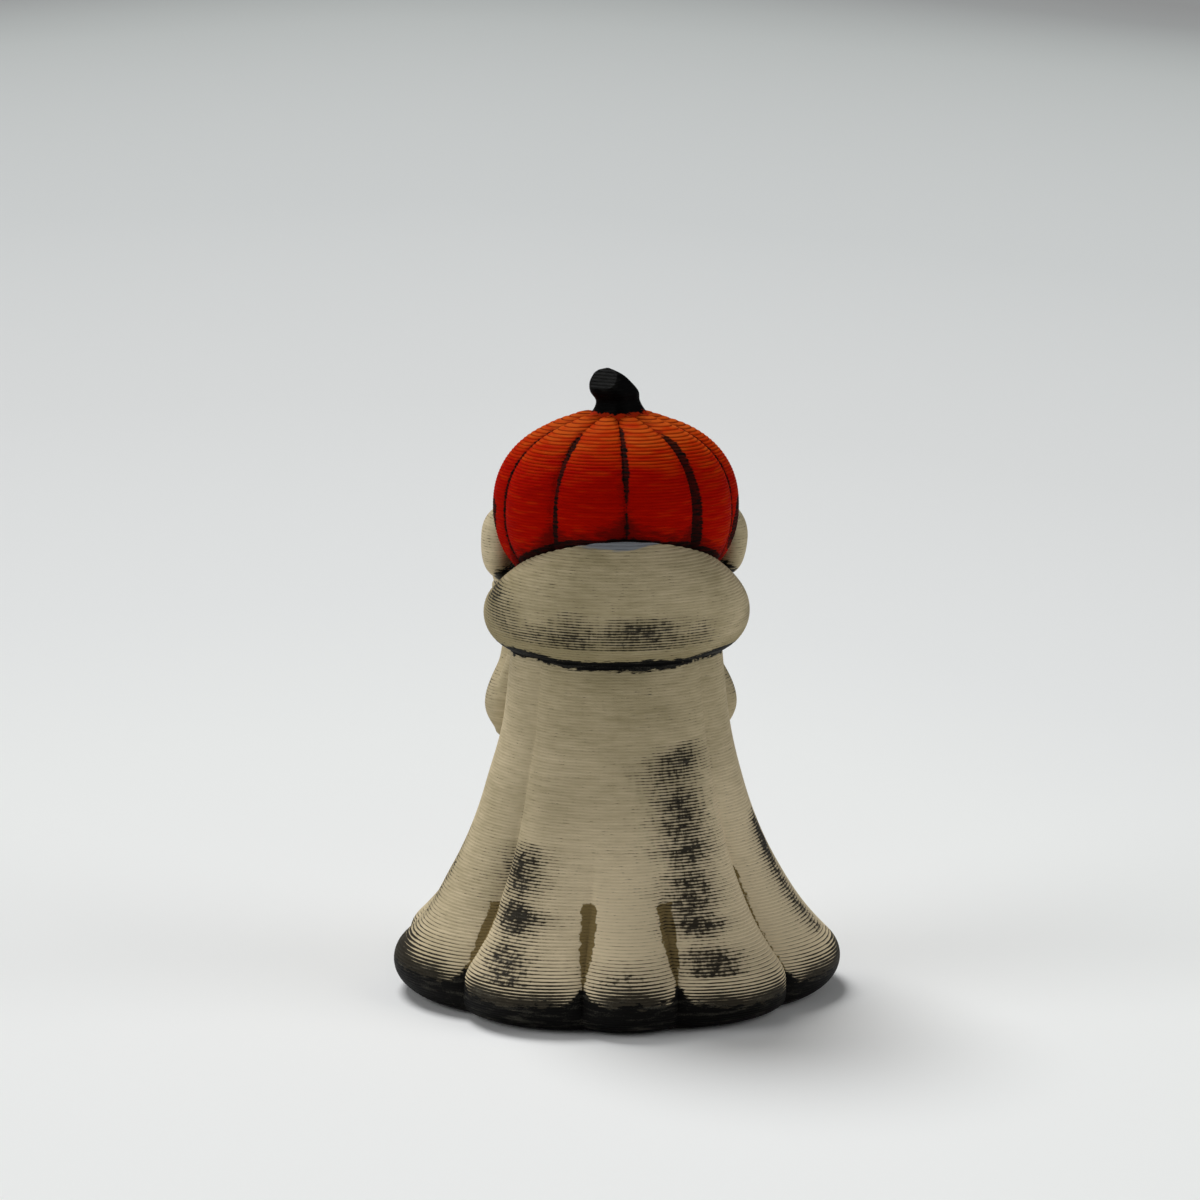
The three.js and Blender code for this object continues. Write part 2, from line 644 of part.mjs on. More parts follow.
/** A tube through points, its sections square to it: thick away from the Z axis, wide along the body. */
function limb(points, thicknesses, widths) {
  const path = new THREE.CatmullRomCurve3(points);
  const section = (along, scale = 1, push = 0) => {
    const forward = path.getTangent(along);
    const centre = path.getPoint(along).addScaledVector(forward, push);
    const outward = new THREE.Vector3(centre.x, centre.y, 0);
    const wideWay = forward.clone().cross(outward).normalize();
    const thickWay = wideWay.clone().cross(forward);
    const thick = sizeAlong(thicknesses, along) * scale;
    const wide = sizeAlong(widths, along) * scale;
    return Array.from({ length: LIMB_SEGMENTS }, (_, i) => {
      const angle = (i / LIMB_SEGMENTS) * FULL_TURN;
      return centre
        .clone()
        .addScaledVector(thickWay, thick * Math.cos(angle))
        .addScaledVector(wideWay, wide * Math.sin(angle));
    });
  };
  const bands = 2 * (points.length - 1);
  const rings = Array.from({ length: bands + 1 }, (_, j) => section(j / bands));
  rings.unshift(section(0, 1 - LIMB_END_ROUND, -thicknesses[0] * LIMB_END_ROUND));
  rings.push(section(1, 1 - LIMB_END_ROUND, thicknesses[thicknesses.length - 1] * LIMB_END_ROUND));
  return skin(rings);
}

/** The peg on the left wrist, in line with the cuff, grown all round by a clearance. */
function wristPeg(grow = 0) {
  const path = new THREE.CatmullRomCurve3(forearmPoints());
  const radius = CUFF_BORE_RADIUS - PEG_CLEARANCE + grow;
  const peg = post(radius, PEG_CLEARANCE - CUFF_BORE_DEPTH - grow, OVERLAP, PIN_SEGMENTS);
  return aimed(peg, path.getTangent(1), path.getPoint(1));
}

/** The left sleeve before it is fitted, grown by a margin to cut the hand with. */
function sleeveForm(grow = 0) {
  const forearmRadii = FOREARM_RADII.map((radius) => radius + grow);
  const armRadii = ARM_PATH.map(() => ARM_RADIUS + grow);
  const arm = limb(onShoulder(ARM_PATH), armRadii, armRadii);
  return arm.add(limb(forearmPoints(), forearmRadii, forearmRadii));
}

function makeLeftSleeve() {
  const fitted = sleeveForm()
    .subtract(robeOutside(GLUE_GAP))
    .subtract(hoodRing(GLUE_GAP))
    .subtract(wristPeg(PEG_CLEARANCE));
  return largest(pinHoles().reduce((sleeve, hole) => sleeve.subtract(hole), fitted));
}

function makeLeftHand() {
  const wrist = forearmPoints().pop();
  const palm = limb([wrist, ...onHead(HAND_PATH)], HAND_HALF_THICKNESS, HAND_HALF_WIDTH);
  const hand = palm
    .add(limb(onHead(THUMB_PATH), THUMB_RADII, THUMB_RADII))
    .subtract(sleeveForm(GLUE_GAP))
    .add(wristPeg())
    .subtract(headCutter())
    .subtract(hoodRing(GLUE_GAP));
  return largest(hand);
}

/** The smooth form over the head's ribs, grown by the glue gap, which the stem, hood and hands meet. */
function headCutter() {
  return headOutside(GLUE_GAP, 0);
}

// Assembly

const paint = (color, roughness) => new THREE.MeshStandardMaterial({ color, roughness, metalness: 0 });
const creamPaint = paint("#c9bf9f", 0.75);
const orangePaint = paint("#c8430f", 0.6);
const blackPaint = paint("#1b1a18", 0.55);
const bareFilament = paint("#d8d5cc", 0.5);

const figurine = new THREE.Group();

function place(name, solid, material) {
  const mesh = new THREE.Mesh(geometryOf(solid), material);
  mesh.name = name;
  figurine.add(mesh);
}

function placePair(name, leftSolid, material) {
  place(`left_${name}`, leftSolid, material);
  place(`right_${name}`, mirrored(leftSolid), material);
}

place("robe_body", makeRobe(), creamPaint);
place("base_plate", makeBasePlate(), blackPaint);
place("neck_dowel", makeNeckDowel(), bareFilament);
place("hood_collar", makeHood(), creamPaint);
place("pumpkin_head", makeHead(), orangePaint);
place("pumpkin_stem", makeStem(), blackPaint);
placePair("sleeve", makeLeftSleeve(), creamPaint);
placePair("hand", makeLeftHand(), creamPaint);
for (const seat of PIN_SEATS) placePair(`${seat.name}_pin`, makeLeftPin(seat), bareFilament);

export default figurine;
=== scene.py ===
# %% [markdown]
# # A ghost with a pumpkin for a head
#
# The real thing is a desk figurine about 60 mm tall. It was printed in plastic, a thin layer at a time,
# and painted by hand: cream acrylic on the robe, the pushed-back hood, the sleeves and the hands, orange
# on the pumpkin, and black in every crease, on the stem and round the hem.
#
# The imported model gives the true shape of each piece. This lesson dresses it: each visible piece is
# worked out again as a fine surface with numpy, the large ones with their printed layers in the mesh, and
# the brushwork is stored on it as maps that the paints read. It works in millimetres and turns them into
# metres at the very end.

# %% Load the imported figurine
import math

import bpy
import numpy as np
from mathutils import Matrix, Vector


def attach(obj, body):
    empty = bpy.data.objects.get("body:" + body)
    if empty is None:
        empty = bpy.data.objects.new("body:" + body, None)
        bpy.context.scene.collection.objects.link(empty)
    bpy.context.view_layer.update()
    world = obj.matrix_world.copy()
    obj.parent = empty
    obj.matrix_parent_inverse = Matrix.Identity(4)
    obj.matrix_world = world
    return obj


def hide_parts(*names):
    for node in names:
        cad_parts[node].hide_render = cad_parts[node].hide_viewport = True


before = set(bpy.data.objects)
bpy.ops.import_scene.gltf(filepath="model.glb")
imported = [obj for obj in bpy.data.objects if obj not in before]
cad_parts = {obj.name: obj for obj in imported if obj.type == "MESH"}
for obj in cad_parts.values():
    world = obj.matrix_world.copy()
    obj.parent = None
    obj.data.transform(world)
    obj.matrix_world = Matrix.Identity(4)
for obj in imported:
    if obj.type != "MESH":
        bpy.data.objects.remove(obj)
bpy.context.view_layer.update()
MM = 0.001  # metres in a millimetre
print("packed nodes:", ", ".join(sorted(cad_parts)))

# %% [markdown]
# ## The camera
#
# A long lens looks down at the figurine's back by 10 degrees from 400 mm away. The figurine is turned a
# little, and stands slightly right of the middle of the picture, so the camera slides to its own left.

# %% Camera
CAMERA_DISTANCE = 400
CAMERA_TURN = math.radians(3.8)  # from straight behind the figurine towards its left
CAMERA_TILT = math.radians(10)
AIM_HEIGHT = 37.8  # what lies in the middle of the picture
AIM_SLIDE = 1.54
LENS = 124.3  # mm, in front of a sensor 36 mm wide

away = Vector((math.cos(CAMERA_TILT) * math.sin(CAMERA_TURN),
               math.cos(CAMERA_TILT) * math.cos(CAMERA_TURN), math.sin(CAMERA_TILT)))
slide = Vector((math.cos(CAMERA_TURN), -math.sin(CAMERA_TURN), 0)) * AIM_SLIDE
camera = bpy.data.objects.new("camera", bpy.data.cameras.new("camera"))
camera.location = (Vector((0, 0, AIM_HEIGHT)) + slide + away * CAMERA_DISTANCE) * MM
camera.rotation_mode = "QUATERNION"
camera.rotation_quaternion = (-away).to_track_quat("-Z", "Y")
camera.data.lens = LENS
bpy.context.scene.collection.objects.link(camera)
bpy.context.scene.camera = camera
bpy.context.scene.view_settings.view_transform = "Standard"
print("camera at", [round(c, 4) for c in camera.location])

# %% [markdown]
# ## From a formula to a piece
#
# Each piece is a grid of points: its rows run round the figurine and its columns run up it. The points
# could be typed in or sculpted, but a grid worked out with numpy keeps every measure in view, and the
# faces between its points are counted off in one go.

# %% Grids of points
SHARP_EDGE = math.radians(70)


def ring_angles(count):
    """Even angles once round."""
    return np.arange(count) * 2 * math.pi / count


def around(radius, from_back, height):
    """Points at a radius, an angle from the middle of the back (+Y) towards the left (+X), and a height."""
    x, y, z = np.broadcast_arrays(radius * np.sin(from_back), radius * np.cos(from_back), height)
    return np.stack([x, y, z], -1)


def smoothstep(value, low, high):
    """0 below low, 1 above high, and the curve 3s^2 - 2s^3 between them."""
    share = np.clip((value - low) / (high - low), 0, 1)
    return share * share * (3 - 2 * share)


def bell(value, width):
    """1 at zero, and falling off to both sides: e to the power of -(value / width)^2."""
    return np.exp(-((value / width) ** 2))


def bands(rows, columns, looped=False):
    """Four-sided faces between each ring of a grid and the next. Looped, its last ring meets its first."""
    ring = np.arange(columns)
    after = np.roll(ring, -1)
    low = np.arange(rows if looped else rows - 1)[:, None] * columns
    high = (low + columns) % (rows * columns)
    return np.stack([low + ring, high + ring, high + after, low + after], -1).reshape(-1, 4).tolist()


def skin(grid, looped=False):
    """Points and faces of a closed skin: the grid's bands and, unless it is looped, a fan from each end
    ring to its middle."""
    rows, columns, _ = grid.shape
    points, faces = grid.reshape(-1, 3), bands(rows, columns, looped)
    if not looped:
        ring = np.arange(columns)
        after = np.roll(ring, -1)
        foot, top, last = len(points), len(points) + 1, (rows - 1) * columns
        faces += np.stack([np.full(columns, foot), ring, after], -1).tolist()
        faces += np.stack([np.full(columns, top), last + after, last + ring], -1).tolist()
        points = np.vstack([points, grid[0].mean(0), grid[-1].mean(0)])
    return points, faces


def make_object(name, points, faces):
    """A smooth-shaded mesh object from points in millimetres, with its sharp edges kept."""
    mesh = bpy.data.meshes.new(name)
    mesh.from_pydata((points * MM).tolist(), [], faces)
    mesh.shade_smooth()
    mesh.set_sharp_from_angle(angle=SHARP_EDGE)
    piece = bpy.data.objects.new(name, mesh)
    bpy.context.scene.collection.objects.link(piece)
    return piece


def points_of(piece):
    """A piece's points in millimetres."""
    flat = np.empty(len(piece.data.vertices) * 3, np.float32)
    piece.data.vertices.foreach_get("co", flat)
    return flat.reshape(-1, 3).astype(float) / MM


def paint_maps(piece, **maps):
    """Stores numbers by name at each point of a piece, for its paint to read."""
    for name, values in maps.items():
        stored = piece.data.attributes.new(name, "FLOAT", "POINT")
        values = np.broadcast_to(values, len(piece.data.vertices))
        stored.data.foreach_set("value", np.ascontiguousarray(values, np.float32))


def hand_over(piece, node, paint):
    """Gives a piece its paint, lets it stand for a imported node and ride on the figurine."""
    piece.data.materials.append(paint)
    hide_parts(node)
    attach(piece, "root")
    print(f"{node}: {len(piece.data.vertices)} points, {len(piece.data.polygons)} faces")


# %% [markdown]
# ## Printed layers
#
# A printer lays down one flat bead on top of another. On an upright wall that leaves a fine notch between
# two beads, and on a sloping one it leaves steps, which is why the lines stand out on the hem and on top
# of the pumpkin. The real layers are 0.2 mm thick. That is under two dots of the picture, so they are
# drawn 0.28 mm thick. A bump map could fake them, and does on the small arms, but on the robe, the hood
# and the pumpkin they are in the mesh.

# %% Layers drawn into a grid
LAYER = 0.28  # 120 layers from the floor to the shoulder
NOTCH = 0.035  # how deep the notch is on an upright wall
STEP_SHARE = 0.3  # how much of a layer's thickness is left as a step on a level wall


def wall_directions(grid):
    """Unit directions out of a grid's surface: the cross product of its two ways across."""
    along = np.roll(grid, -1, axis=1) - np.roll(grid, 1, axis=1)
    out = np.cross(np.gradient(grid, axis=0), along)
    return out / np.maximum(np.linalg.norm(out, axis=-1, keepdims=True), 1e-9)


def layer_edge(height):
    """0 in the middle of a printed layer and 1 at its lower and upper edge."""
    share = height / LAYER
    return 2 * np.abs(share - np.floor(share) - 0.5)


def printed(grid):
    """Draws a grid in by (notch + step share x layer x how level the wall is) x edge squared."""
    out = wall_directions(grid)
    level = np.abs(out[..., 2:])
    return grid - out * (NOTCH + STEP_SHARE * LAYER * level) * layer_edge(grid[..., 2:]) ** 2


def rows_between(low, high, per_layer):
    """Heights that cut each printed layer at the same places, from one height to another."""
    step = LAYER / per_layer
    first, last = math.ceil(low / step + 0.01), math.floor(high / step - 0.01)
    return np.concatenate([[low], np.arange(first, last + 1) * step, [high]])


print(f"{1 / LAYER:.1f} layers in a millimetre")

# %% [markdown]
# ## Robe: its outline
#
# The robe is a sheet that falls from a narrow shoulder, flares, and rolls under at the hem. Its outline
# over the crests is three curves end to end: a piece of an ellipse for the roll, a cubic curve with four
# control points for the flare, and a quadratic one with three for the chest. Turning that outline would
# give a bell. The flutes come next, and sink valleys into the bell.

# %% Outline of the robe
HEM_RADIUS, HEM_WIDEST_HEIGHT, FOOT_RADIUS = 22, 3.1, 18.4
HEM_ROLL_END = math.radians(42)
WAIST_RADIUS, WAIST_HEIGHT, WAIST_LEAN = 11.1, 26, 0.14
FLARE_FULLNESS = 0.38
SHOULDER_RADIUS, SHOULDER_HEIGHT = 10.3, 33.6
ROLL_POINTS, FLARE_POINTS, CHEST_POINTS = 200, 300, 100


def controlled_curve(controls, count):
    """Points on the curve that control points pull at: neighbours are blended until one point is left."""
    share = np.linspace(0, 1, count)[:, None]
    points = [np.broadcast_to(np.array(c, float), (count, 2)) for c in controls]
    while len(points) > 1:
        points = [a * (1 - share) + b * share for a, b in zip(points, points[1:])]
    return points[0]


turn = np.linspace(-math.pi / 2, HEM_ROLL_END, ROLL_POINTS)
roll = np.stack([FOOT_RADIUS + (HEM_RADIUS - FOOT_RADIUS) * np.cos(turn),
                 HEM_WIDEST_HEIGHT + HEM_WIDEST_HEIGHT * np.sin(turn)], -1)
roll_way = (roll[-1] - roll[-2]) / np.linalg.norm(roll[-1] - roll[-2])
waist = np.array([WAIST_RADIUS, WAIST_HEIGHT])
reach = (WAIST_HEIGHT - roll[-1, 1]) * FLARE_FULLNESS
below_waist = waist + np.array([WAIST_LEAN, -1]) * reach
rise = (SHOULDER_HEIGHT - WAIST_HEIGHT) / 2
above_waist = waist + np.array([-WAIST_LEAN, 1]) * rise
flare = controlled_curve([roll[-1], roll[-1] + roll_way * reach, below_waist, waist], FLARE_POINTS)
chest = controlled_curve([waist, above_waist, (SHOULDER_RADIUS, SHOULDER_HEIGHT)], CHEST_POINTS)
robe_outline = np.vstack([roll, flare[1:], chest[1:]])
print("robe outline from radius", robe_outline[0, 0], "to", robe_outline[-1, 0])

# %% [markdown]
# ## Robe: its flutes
#
# Between two valleys the sheet bulges out in a round crest. A half sine wave is right for a soft curtain,
# but pressed folds have sharp valleys: raising the wave to a power below one keeps the crests round and
# turns the valleys into creases. Two of them run up to the neck and the others fade out on the way.

# %% Flutes sunk into the robe
# Degrees from the middle of the back, depth at the hem, depth at the waist, height where it has faded
VALLEYS = np.array([(13, 2.0, 0.0, 19), (51, 2.4, 0.6, 24), (104, 2.3, 0.7, 24), (136, 2.0, 0.4, 24),
                    (165, 1.9, 0.2, 24)])
FOOT_DEPTH_SHARE = 0.5
CREST_FULLNESS = 0.7
SIDE_FULLNESS, LEFT_FULLNESS = 0.3, 0.15
SKIRT_FOOT, SKIRT_TOP = (7, 12), (20, 27)  # heights between which the extra fullness sets in and ends

valleys = np.vstack([VALLEYS * [-1, 1, 1, 1], VALLEYS])
valleys = valleys[np.argsort(valleys[:, 0])]
valleys = np.vstack([valleys[-1] - [360, 0, 0, 0], valleys, valleys[0] + [360, 0, 0, 0]])


def valley_depth(valley, height):
    """From the hem depth to the waist depth as it fades, and shallower again under the hem's roll."""
    _, hem, waist_depth, faded = valley
    fade = smoothstep(height, HEM_WIDEST_HEIGHT, faded)
    foot = FOOT_DEPTH_SHARE + (1 - FOOT_DEPTH_SHARE) * smoothstep(height, 0, HEM_WIDEST_HEIGHT)
    return (hem * (1 - fade) + waist_depth * fade) * foot


def flute_depth(from_back, height):
    """How far the sheet lies inside its outline: blended valley depth x (1 - sin(pi x across)^fullness)."""
    degrees = (np.degrees(from_back) + 180) % 360 - 180
    depth = np.zeros(np.broadcast(degrees, height).shape)
    for before, after in zip(valleys, valleys[1:]):
        across = (degrees - before[0]) / (after[0] - before[0])
        crest = np.sin(math.pi * np.clip(across, 0, 1)) ** CREST_FULLNESS
        blend = valley_depth(before, height) * (1 - across) + valley_depth(after, height) * across
        depth = np.where((across >= 0) & (across <= 1), blend * (1 - crest), depth)
    return depth


def robe_radius(from_back, height):
    """The outline's radius at a height, less the flutes, and a little fuller at the sides of the skirt."""
    crest = np.interp(height, robe_outline[:, 1], robe_outline[:, 0])
    skirt = smoothstep(height, *SKIRT_FOOT) * (1 - smoothstep(height, *SKIRT_TOP))
    fuller = (SIDE_FULLNESS + LEFT_FULLNESS * np.sin(from_back)) * np.sin(from_back) ** 2 * skirt
    return crest - flute_depth(from_back, height) + fuller


COLUMNS_PER_DEGREE = 2 / 3
spans = [(a, b, round((b - a) * COLUMNS_PER_DEGREE)) for a, b in zip(valleys[1:-1, 0], valleys[2:, 0])]
robe_angles = np.radians(np.concatenate([np.linspace(a, b, n, endpoint=False) for a, b, n in spans]))
print(len(robe_angles), "columns round the robe, one in every valley")

# %% [markdown]
# The robe is hollow. Its grid starts under the neck, inside, comes down the cavity and round the seat of
# the base plate, goes up the outside and ends on top of the neck's boss, so one skin closes the piece.

# %% The robe's mesh
PLATE_SEAT_RADIUS, PLATE_THICKNESS, PLATE_LEDGE = 13.7, 1.6, 1.2
CAVITY_TOP_HEIGHT = 24
ROBE_WALL = 1.8
SPIGOT_RADIUS, SPIGOT_TOP = 6.4, 36.0
BOSS_RADIUS, BOSS_TOP = 4.6, 38.3
ROBE_ROWS_PER_LAYER, CAVITY_ROWS = 3, 9

heights = rows_between(0, SHOULDER_HEIGHT, ROBE_ROWS_PER_LAYER)[:, None]
outside = printed(around(robe_radius(robe_angles, heights), robe_angles, heights))
cavity_heights = np.linspace(CAVITY_TOP_HEIGHT, PLATE_THICKNESS + ROBE_WALL, CAVITY_ROWS)
wall = np.interp(cavity_heights, robe_outline[:, 1], robe_outline[:, 0]) - VALLEYS[:, 1].max() - ROBE_WALL
cavity = np.stack([np.minimum(wall, PLATE_SEAT_RADIUS), cavity_heights], -1)
seat = [(PLATE_SEAT_RADIUS - PLATE_LEDGE, PLATE_THICKNESS), (PLATE_SEAT_RADIUS, PLATE_THICKNESS),
        (PLATE_SEAT_RADIUS, 0)]
neck = [(SPIGOT_RADIUS, SHOULDER_HEIGHT), (SPIGOT_RADIUS, SPIGOT_TOP), (BOSS_RADIUS, SPIGOT_TOP),
        (BOSS_RADIUS, BOSS_TOP)]


def turned(profile):
    """A grid of rings round the figurine from (radius, height) pairs."""
    radius, height = np.array(profile, float).T[..., None]
    return around(radius, robe_angles, height)


robe = make_object("robe", *skin(np.vstack([turned(cavity), turned(seat), outside, turned(neck)])))
print(len(robe.data.vertices), "points in the robe")

# %% [markdown]
# ## Pumpkin: its ribs
#
# The pumpkin is a squashed ball whose outline is a superellipse, a little squarer than an ellipse. Ten
# grooves are sunk into it, each a crease between two round ribs, by the same power of a sine as the
# robe's. The rows have to stay level, as printed layers do, so the radius is found for each height: the
# height is divided by the rib's own size, the radius read off the outline, and the size worked out again
# until the two agree.

# %% The pumpkin's surface
HEAD_RADIUS, HEAD_HALF_HEIGHT, HEAD_MIDDLE = 11.85, 9.1, 47.05
HEAD_SQUARENESS = 2.25
RIBS, RIB_DEPTH, RIB_FULLNESS, RIB_FADE_RADIUS = 10, 0.6, 0.62, 3
RIB_END_RISE, RIB_END_RADIUS, RIB_END_WIDTH = 0.18, 3.6, 0.9  # a rib ends in a small bump by the stem
AGREEING_ROUNDS = 20
HEAD_COLUMNS, HEAD_ROWS_PER_LAYER, CROWN_GAP = 320, 4, 0.02  # the top row lies a little below the crown


def smooth_head_radius(height, grow=0.0):
    """Radius of the head without ribs: R (1 - |rise / H|^n)^(1/n)."""
    rise_share = np.abs(height - HEAD_MIDDLE) / (HEAD_HALF_HEIGHT + grow)
    return (HEAD_RADIUS + grow) * np.clip(1 - rise_share**HEAD_SQUARENESS, 0, 1) ** (1 / HEAD_SQUARENESS)


def rib_crest(from_back):
    """0 in a groove and 1 on a rib's crest."""
    return np.abs(np.sin(RIBS / 2 * from_back)) ** RIB_FULLNESS


def head_radius(from_back, height):
    """The ribbed radius, found by going round the two formulas until they agree."""
    size = np.ones(np.broadcast(from_back, height).shape)
    for _ in range(AGREEING_ROUNDS):
        smooth = smooth_head_radius(HEAD_MIDDLE + (height - HEAD_MIDDLE) / size)
        fade = np.minimum(1, smooth / RIB_FADE_RADIUS)
        size = (size + 1 - RIB_DEPTH / HEAD_RADIUS * (1 - rib_crest(from_back)) * fade) / 2
    return smooth * size


head_angles = ring_angles(HEAD_COLUMNS)
head_top = HEAD_MIDDLE + HEAD_HALF_HEIGHT - CROWN_GAP
head_heights = rows_between(BOSS_TOP, head_top, HEAD_ROWS_PER_LAYER)[:, None]
head_radii = head_radius(head_angles, head_heights)
print("pumpkin radius", head_radii.min().round(2), "to", head_radii.max().round(2))

# %% [markdown]
# ## Pumpkin: its carved face
#
# The photograph shows only the back, so the front gets the traditional lantern face: two triangles, a
# small nose and a grin with square teeth. Cutting it with a boolean would leave slivers. Instead each
# point's distance to the drawn outline is worked out, and the points inside it sink: the same distance
# then paints the hollow black.

# %% The face, as distances to its outlines
FACE_DEPTH = 0.8
FACE_EDGE = 0.22  # width of the hollows' sloping wall
MOUTH_HALF_WIDTH, MOUTH_CORNER_HEIGHT = 5.8, HEAD_MIDDLE - 1.85
UPPER_SAG, LOWER_SAG = 1.5, 4.3
TOOTH_HALF_WIDTH, TOOTH_TALL, UPPER_TEETH_APART = 0.75, 1.3, 4.6
EYE_FOOT, NOSE_FOOT = HEAD_MIDDLE + 1.95, HEAD_MIDDLE - 0.45
EYE = [(2, EYE_FOOT), (6.2, EYE_FOOT), (3.6, EYE_FOOT + 3.5)]
NOSE = [(-0.95, NOSE_FOOT), (0.95, NOSE_FOOT), (0, NOSE_FOOT + 1.6)]
FAR = 5  # further than any painted edge reaches


def outline_distance(x, z, corners):
    """Distance from points to a closed outline, below zero inside it: the nearest of its sides, with the
    sign turned at every side that a level ray crosses."""
    corners = np.array(corners, float)
    nearest, inside = np.full(x.shape, np.inf), np.zeros(x.shape, bool)
    for (ax, az), (bx, bz) in zip(corners, np.roll(corners, -1, axis=0)):
        dx, dz = bx - ax, bz - az
        share = np.clip(((x - ax) * dx + (z - az) * dz) / (dx * dx + dz * dz), 0, 1)
        nearest = np.minimum(nearest, np.hypot(x - ax - share * dx, z - az - share * dz))
        crosses = (az > z) != (bz > z)
        inside ^= crosses & (x < ax + dx * (z - az) / (dz if dz else 1))
    return np.where(inside, -nearest, nearest)


def lip(sag):
    """Points of a parabola that hangs from the corners of the mouth."""
    share = np.linspace(-1, 1, 13)
    return np.stack([share * MOUTH_HALF_WIDTH, MOUTH_CORNER_HEIGHT - sag * (1 - share**2)], -1)


def tooth(x, low, high):
    """The corners of a square tooth, from the side."""
    left, right = x - TOOTH_HALF_WIDTH, x + TOOTH_HALF_WIDTH
    return [(left, low), (right, low), (right, high), (left, high)]


upper_lip, lower_lip = MOUTH_CORNER_HEIGHT - UPPER_SAG, MOUTH_CORNER_HEIGHT - LOWER_SAG
mouth_outline = np.vstack([lip(LOWER_SAG), lip(UPPER_SAG)[-2:0:-1]])
teeth = [tooth(side * UPPER_TEETH_APART / 2, upper_lip - TOOTH_TALL, upper_lip + 1) for side in (-1, 1)]
teeth.append(tooth(0, lower_lip - 1, lower_lip + TOOTH_TALL))


def face_distance(points):
    """Distance in millimetres from points of the head to the face's hollows, below zero in them."""
    x, y, z = points[..., 0], points[..., 1], points[..., 2]
    eye, nose = outline_distance(np.abs(x), z, EYE), outline_distance(x, z, NOSE)
    mouth = outline_distance(x, z, mouth_outline)
    for corners in teeth:
        mouth = np.maximum(mouth, -outline_distance(x, z, corners))
    return np.where(y < 0, np.minimum(np.minimum(eye, nose), mouth), FAR)


head_grid = around(head_radii, head_angles, head_heights)
rib_ends = RIB_END_RISE * rib_crest(head_angles) * bell(head_radii - RIB_END_RADIUS, RIB_END_WIDTH)
head_grid[..., 2] += rib_ends * (head_heights > HEAD_MIDDLE)
sink = FACE_DEPTH * smoothstep(-face_distance(head_grid), -FACE_EDGE / 2, FACE_EDGE / 2)
head_grid = printed(head_grid)
head_grid = around(np.hypot(head_grid[..., 0], head_grid[..., 1]) - sink, head_angles, head_grid[..., 2])
pumpkin = make_object("pumpkin", *skin(head_grid))
print(len(pumpkin.data.vertices), "points in the pumpkin")

# %% [markdown]
# ## Hood
#
# The hood is pushed back and lies round the neck like a fat roll, high at the back and low at the front,
# and the pumpkin sinks into it. It is a ring whose section is part of an ellipse. At each angle the grid
# runs from the hood's seat up its outside to where it meets the pumpkin, down along the pumpkin, and back
# under the hood through its bore.

# %% The hood's mesh
HOOD_RADIUS, HOOD_HALF_THICKNESS, HOOD_RISE = (14.2, 12.8, 12.0), (4.2, 3.5, 3.3), (12.5, 6.7, 6.0)
HOOD_EASE, HOOD_SINK = 1.25, 0.3
HOOD_BORE_RADIUS = 6.5
GLUE_GAP = 0.15
HOOD_COLUMNS, HOOD_ROWS, HOOD_INNER_ROWS = 320, 240, 22
MEETING_TRIES = 1200


def eased(back_side_front, from_back):
    """A measure of the hood: its side value, eased to its back or front value by |cos|^ease."""
    back, side, front = back_side_front
    cosine = np.cos(from_back)
    return side + (np.where(cosine > 0, back, front) - side) * np.abs(cosine) ** HOOD_EASE


def half_tall(from_back):
    """Half the height of the hood's full section, which starts a little below the shoulder."""
    return (eased(HOOD_RISE, from_back) + HOOD_SINK) / 2


def hood_section(from_back, turn):
    """Radius and height at a turn round the hood's full section, -90 degrees at its lowest point."""
    half_thick = eased(HOOD_HALF_THICKNESS, from_back)
    radius = eased(HOOD_RADIUS, from_back) - half_thick + half_thick * np.cos(turn)
    return radius, SHOULDER_HEIGHT - HOOD_SINK + half_tall(from_back) * (1 + np.sin(turn))


hood_angles = ring_angles(HOOD_COLUMNS)
seat_turns = np.arcsin(HOOD_SINK / half_tall(hood_angles) - 1)
tries = np.linspace(0, math.pi, MEETING_TRIES)[:, None]
try_radius, try_height = hood_section(hood_angles, tries)
sunk = try_radius < smooth_head_radius(try_height, GLUE_GAP)
meet_turns = tries[np.argmax(sunk, axis=0), 0]
share = np.linspace(0, 1, HOOD_ROWS)[:, None]
hood_radii, hood_heights = hood_section(hood_angles, seat_turns + (meet_turns - seat_turns) * share)
hood_outside = printed(around(hood_radii, hood_angles, hood_heights))
meet_heights = hood_heights[-1]


def meet_height(from_back):
    """How high the hood meets the pumpkin, read between the columns of its grid."""
    once_round = np.append(hood_angles, 2 * math.pi)
    return np.interp(from_back % (2 * math.pi), once_round, np.append(meet_heights, meet_heights[0]))


lowest_sine = (1 - (HOOD_BORE_RADIUS / (HEAD_RADIUS + GLUE_GAP)) ** HEAD_SQUARENESS) ** (1 / HEAD_SQUARENESS)
bore_top = HEAD_MIDDLE - (HEAD_HALF_HEIGHT + GLUE_GAP) * lowest_sine
share = np.linspace(0, 1, HOOD_INNER_ROWS)[1:, None]
inner_heights = meet_heights + (bore_top - meet_heights) * share
hood_inside = around(smooth_head_radius(inner_heights, GLUE_GAP), hood_angles, inner_heights)
bore_foot = around(HOOD_BORE_RADIUS, hood_angles, np.full((1, HOOD_COLUMNS), SHOULDER_HEIGHT))
hood = make_object("hood", *skin(np.vstack([hood_outside, hood_inside, bore_foot]), looped=True))
print("the hood meets the pumpkin between", meet_heights.min().round(1), "and", meet_heights.max().round(1))

# %% [markdown]
# ## Sleeves and hands
#
# An arm comes out of each shoulder, bends at the elbow and rises past the hood, and a mitten hand lies on
# the pumpkin's cheek. Each sleeve and each hand is two tubes along smooth paths. Joined tubes meet in hard
# creases, so they are remeshed into one skin and relaxed, as a modeller's thumb would smooth clay.

